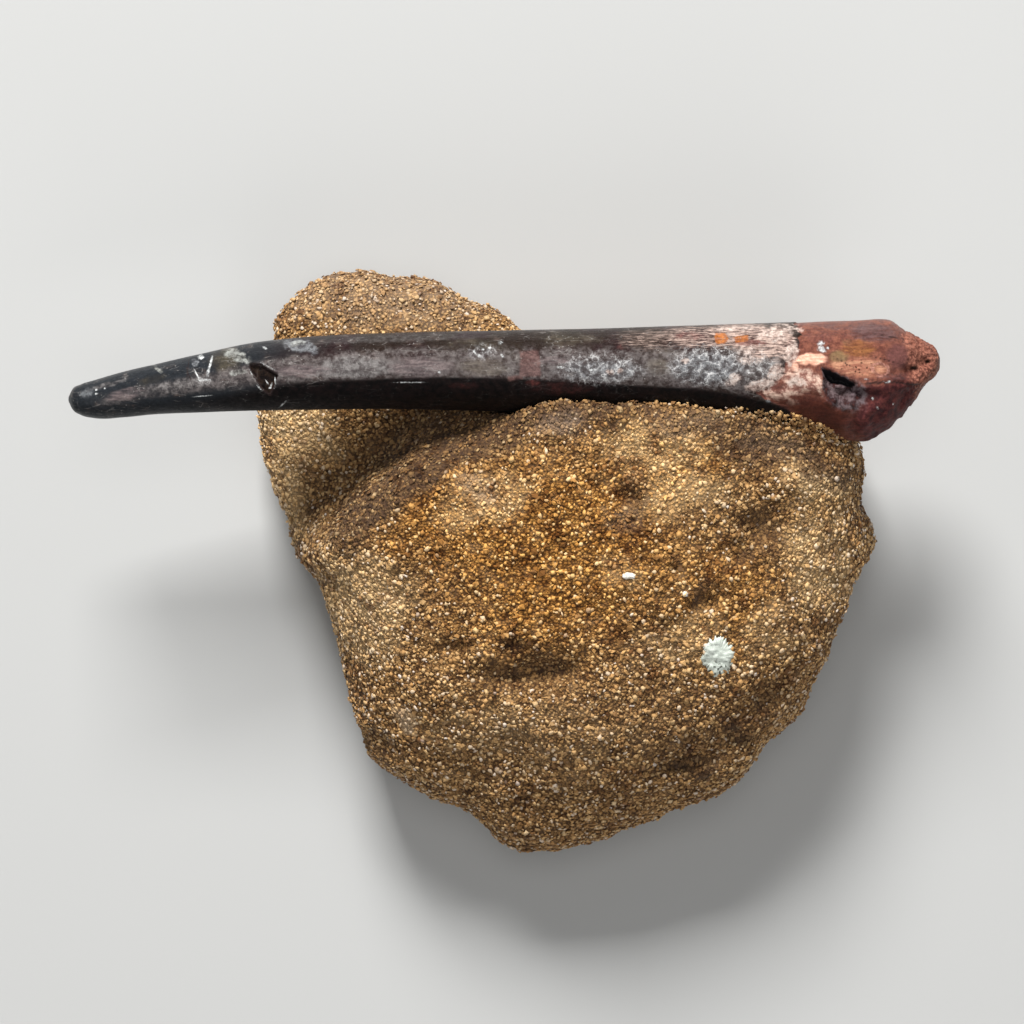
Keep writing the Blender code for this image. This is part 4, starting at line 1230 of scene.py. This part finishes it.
def scatter_grains(points, normals):
    """Sand grains of each kind, bedded in the stone's surface."""
    bank_points, bank_normals = root_bank()
    points = np.concatenate([points, bank_points])
    normals = np.concatenate([normals, bank_normals])
    tints = stone_tints(points)
    rng = np.random.default_rng(GRAIN_SEED)
    free = (points[:, 2] > BASE_FLAT_Z) & (rng.random(len(points)) < GRAIN_SHARE)
    chosen = np.flatnonzero(free)
    slip = rng.uniform(-1.0, 1.0, (len(chosen), 3)) * GRAIN_JITTER * BODY_VOXEL
    spread = np.clip(rng.lognormal(0.0, RADIUS_SPREAD, len(chosen)), *RADIUS_LIMITS)
    # Darker grains where shade is painted, paler where light is painted.
    leaning = DARK_LEANING * (tints["dark"][chosen] - tints["pale"][chosen])
    chance = np.clip(rng.random(len(chosen)) + leaning, 0.0, 0.999)
    edges = np.cumsum([share for share, _, _ in GRAIN_KINDS.values()])
    which = np.minimum(np.searchsorted(edges, chance), len(GRAIN_KINDS) - 1)
    made = []
    for number, (kind, (_, radius, form)) in enumerate(GRAIN_KINDS.items()):
        mine = which == number
        at = chosen[mine]
        radii = radius * spread[mine]
        sink = rng.uniform(*DEPTH_SPREAD, len(at)) * radii
        centres = points[at] + slip[mine] + normals[at] * sink[:, None]
        clear = tooth_gap(centres) > 0.0
        kept = {key: values[at][clear] for key, values in tints.items()}
        made.append(make_grains(kind, form, rng, centres[clear], normals[at][clear], radii[clear], kept))
    return made


def surface_below(tree, x, y):
    """The point of the stone's upper side at x and y."""
    return tree.ray_cast(Vector((x, y, ABOVE_ALL_Z)), Vector((0.0, 0.0, -1.0)))[0]


def make_white_grains(tree):
    """The few big white grains that stand out of the stone."""
    ball, ball_faces = unit_shape("ball")
    points = []
    faces = []
    for number, (x, y, length, width) in enumerate(WHITE_GRAINS):
        rough = 1.0 + WHITE_ROUGHNESS * noise_at(ball * WHITE_ROUGH_SCALE + np.array((x, y, 0.0)), 1.0)
        grain = np.array((length, width, width)) * ball * rough[:, None]
        points.append(grain + np.array(surface_below(tree, x, y)))
        faces.append(ball_faces + number * len(ball))
    points = np.concatenate(points)
    faces = np.concatenate(faces)
    return make_object("white_grains", inside_cad(points), faces, quartz_material(),
                       flat_uv(points, faces))


def dab_edge():
    """Directions round the dab, and how far its ragged edge reaches in each."""
    turns = 2.0 * np.pi * np.arange(DAB_SIDES) / DAB_SIDES
    circle = np.stack([np.cos(turns), np.sin(turns), np.zeros(DAB_SIDES)], axis=1)
    jitter = np.random.default_rng(DAB_SEED).uniform(-1.0, 1.0, DAB_SIDES)
    teeth = sum(height * noise_at(circle * closeness + np.array((0.0, 0.0, level)), 1.0)
                for closeness, level, height in DAB_TEETH)
    return circle[:, 0], circle[:, 1], 1.0 + DAB_RAGGEDNESS * teeth + DAB_JITTER * jitter


def make_dab(tree):
    """A thin worn skin of white paint that follows the stone's surface."""
    rings = DAB_RINGS + 1
    share = np.repeat(np.arange(rings) / DAB_RINGS, DAB_SIDES)
    round_x, round_y, reach = (np.tile(values, rings) for values in dab_edge())
    x = DAB_CENTRE[0] + DAB_HALF[0] * share * reach * round_x
    y = DAB_CENTRE[1] + DAB_HALF[1] * share * reach * round_y
    ground = np.array([surface_below(tree, *place).z for place in zip(x.tolist(), y.tolist())])
    level = np.full_like(x, DAB_GRAIN_LEVEL)
    fine = DAB_GRAIN_HEIGHT * noise_at(np.stack([x, y, level], axis=1), DAB_GRAIN)
    points = np.stack([x, y, ground + (DAB_RISE + fine) * (1.0 - share**6)], axis=1)
    _, faces = ring_faces(rings, DAB_SIDES)
    faces = faces[:, (0, 3, 2, 1)]
    worn = {"worn": smooth(WORN_BELOW_Y - y, 0.0, 0.8)}
    return make_object("white_dab", points, faces, dab_material(), flat_uv(points, faces), worn)


# ---- stage, light and camera ----
def make_floor():
    """A pale square floor under the stone."""
    square = np.array([(0.0, 0.0, 0.0), (1.0, 0.0, 0.0), (1.0, 1.0, 0.0), (0.0, 1.0, 0.0)])
    corners = (2.0 * square - np.array((1.0, 1.0, 0.0))) * FLOOR_HALF
    material = Graph("pale_floor").finish(FLOOR_COLOUR, 0.9, 0.2)
    make_object("floor", corners, np.array([(0, 1, 2, 3)]), material, square[:, :2])


def add_area_light(name, place, aim, size, power):
    data = bpy.data.lights.new(name, "AREA")
    data.shape = "RECTANGLE"
    data.size, data.size_y = (side * MM for side in size)
    data.energy = power
    light = link_new(name, data)
    light.location = Vector(place) * MM
    light.rotation_euler = (Vector(aim) - Vector(place)).to_track_quat("-Z", "Y").to_euler()
    return light


def light_scene():
    """A key light from behind and above, a weak fill in front, and a soft light overhead."""
    turn, rise = math.radians(KEY_TURN), math.radians(KEY_ELEVATION)
    way = Vector((math.cos(turn) * math.cos(rise), math.sin(turn) * math.cos(rise), math.sin(rise)))
    key_place = Vector(KEY_AIM) + way * KEY_DISTANCE
    for light in (add_area_light("key_softbox", key_place, KEY_AIM, KEY_SIZE, KEY_POWER),
                  add_area_light("fill_softbox", FILL_PLACE, KEY_AIM, FILL_SIZE, FILL_POWER)):
        light.visible_glossy = False
    add_area_light("top_softbox", TOP_PLACE, TOP_AIM, TOP_SIZE, TOP_POWER)


def light_world():
    """A dim even glow, seen by the camera as a plain pale backdrop."""
    world = bpy.data.worlds.new("studio")
    bpy.context.scene.world = world
    world.use_nodes = True
    tree = world.node_tree
    glow = tree.nodes["Background"]
    put(tree, glow.inputs["Color"], WORLD_COLOUR)
    put(tree, glow.inputs["Strength"], WORLD_STRENGTH)
    seen = add_node(tree, "Background", {"Color": BACKDROP_COLOUR})
    to_camera = add_node(tree, "LightPath", {}, "Is Camera Ray")
    either = add_node(tree, "MixShader", {0: to_camera, 1: glow.outputs[0], 2: seen})
    put(tree, tree.nodes["World Output"].inputs["Surface"], either)


def add_camera():
    """A camera that looks straight down."""
    data = bpy.data.cameras.new("camera")
    data.lens = CAMERA_LENS
    data.sensor_width = SENSOR_WIDTH
    data.clip_start = 0.01
    data.clip_end = 4.0 * FLOOR_HALF * MM
    camera = link_new("camera", data)
    camera.location = Vector(CAMERA_PLACE) * MM
    bpy.context.scene.camera = camera


# ---- build ----
bpy.context.scene.view_settings.view_transform = "Standard"
add_camera()
light_scene()
light_world()
make_floor()

tooth = make_tooth()
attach(tooth, "root")
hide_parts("tooth")

surface, surface_normals, surface_faces = stone_surface()
surface_tints = stone_tints(surface)
body, body_points = make_stone_body(surface, surface_normals, surface_faces, surface_tints)
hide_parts("sandstone_matrix")
body_tree = BVHTree.FromPolygons(body_points.tolist(), surface_faces.tolist())
on_stone = [body, *scatter_grains(body_points, surface_normals)]
on_stone += [make_white_grains(body_tree), make_dab(body_tree)]
for piece in on_stone:
    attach(piece, "root")
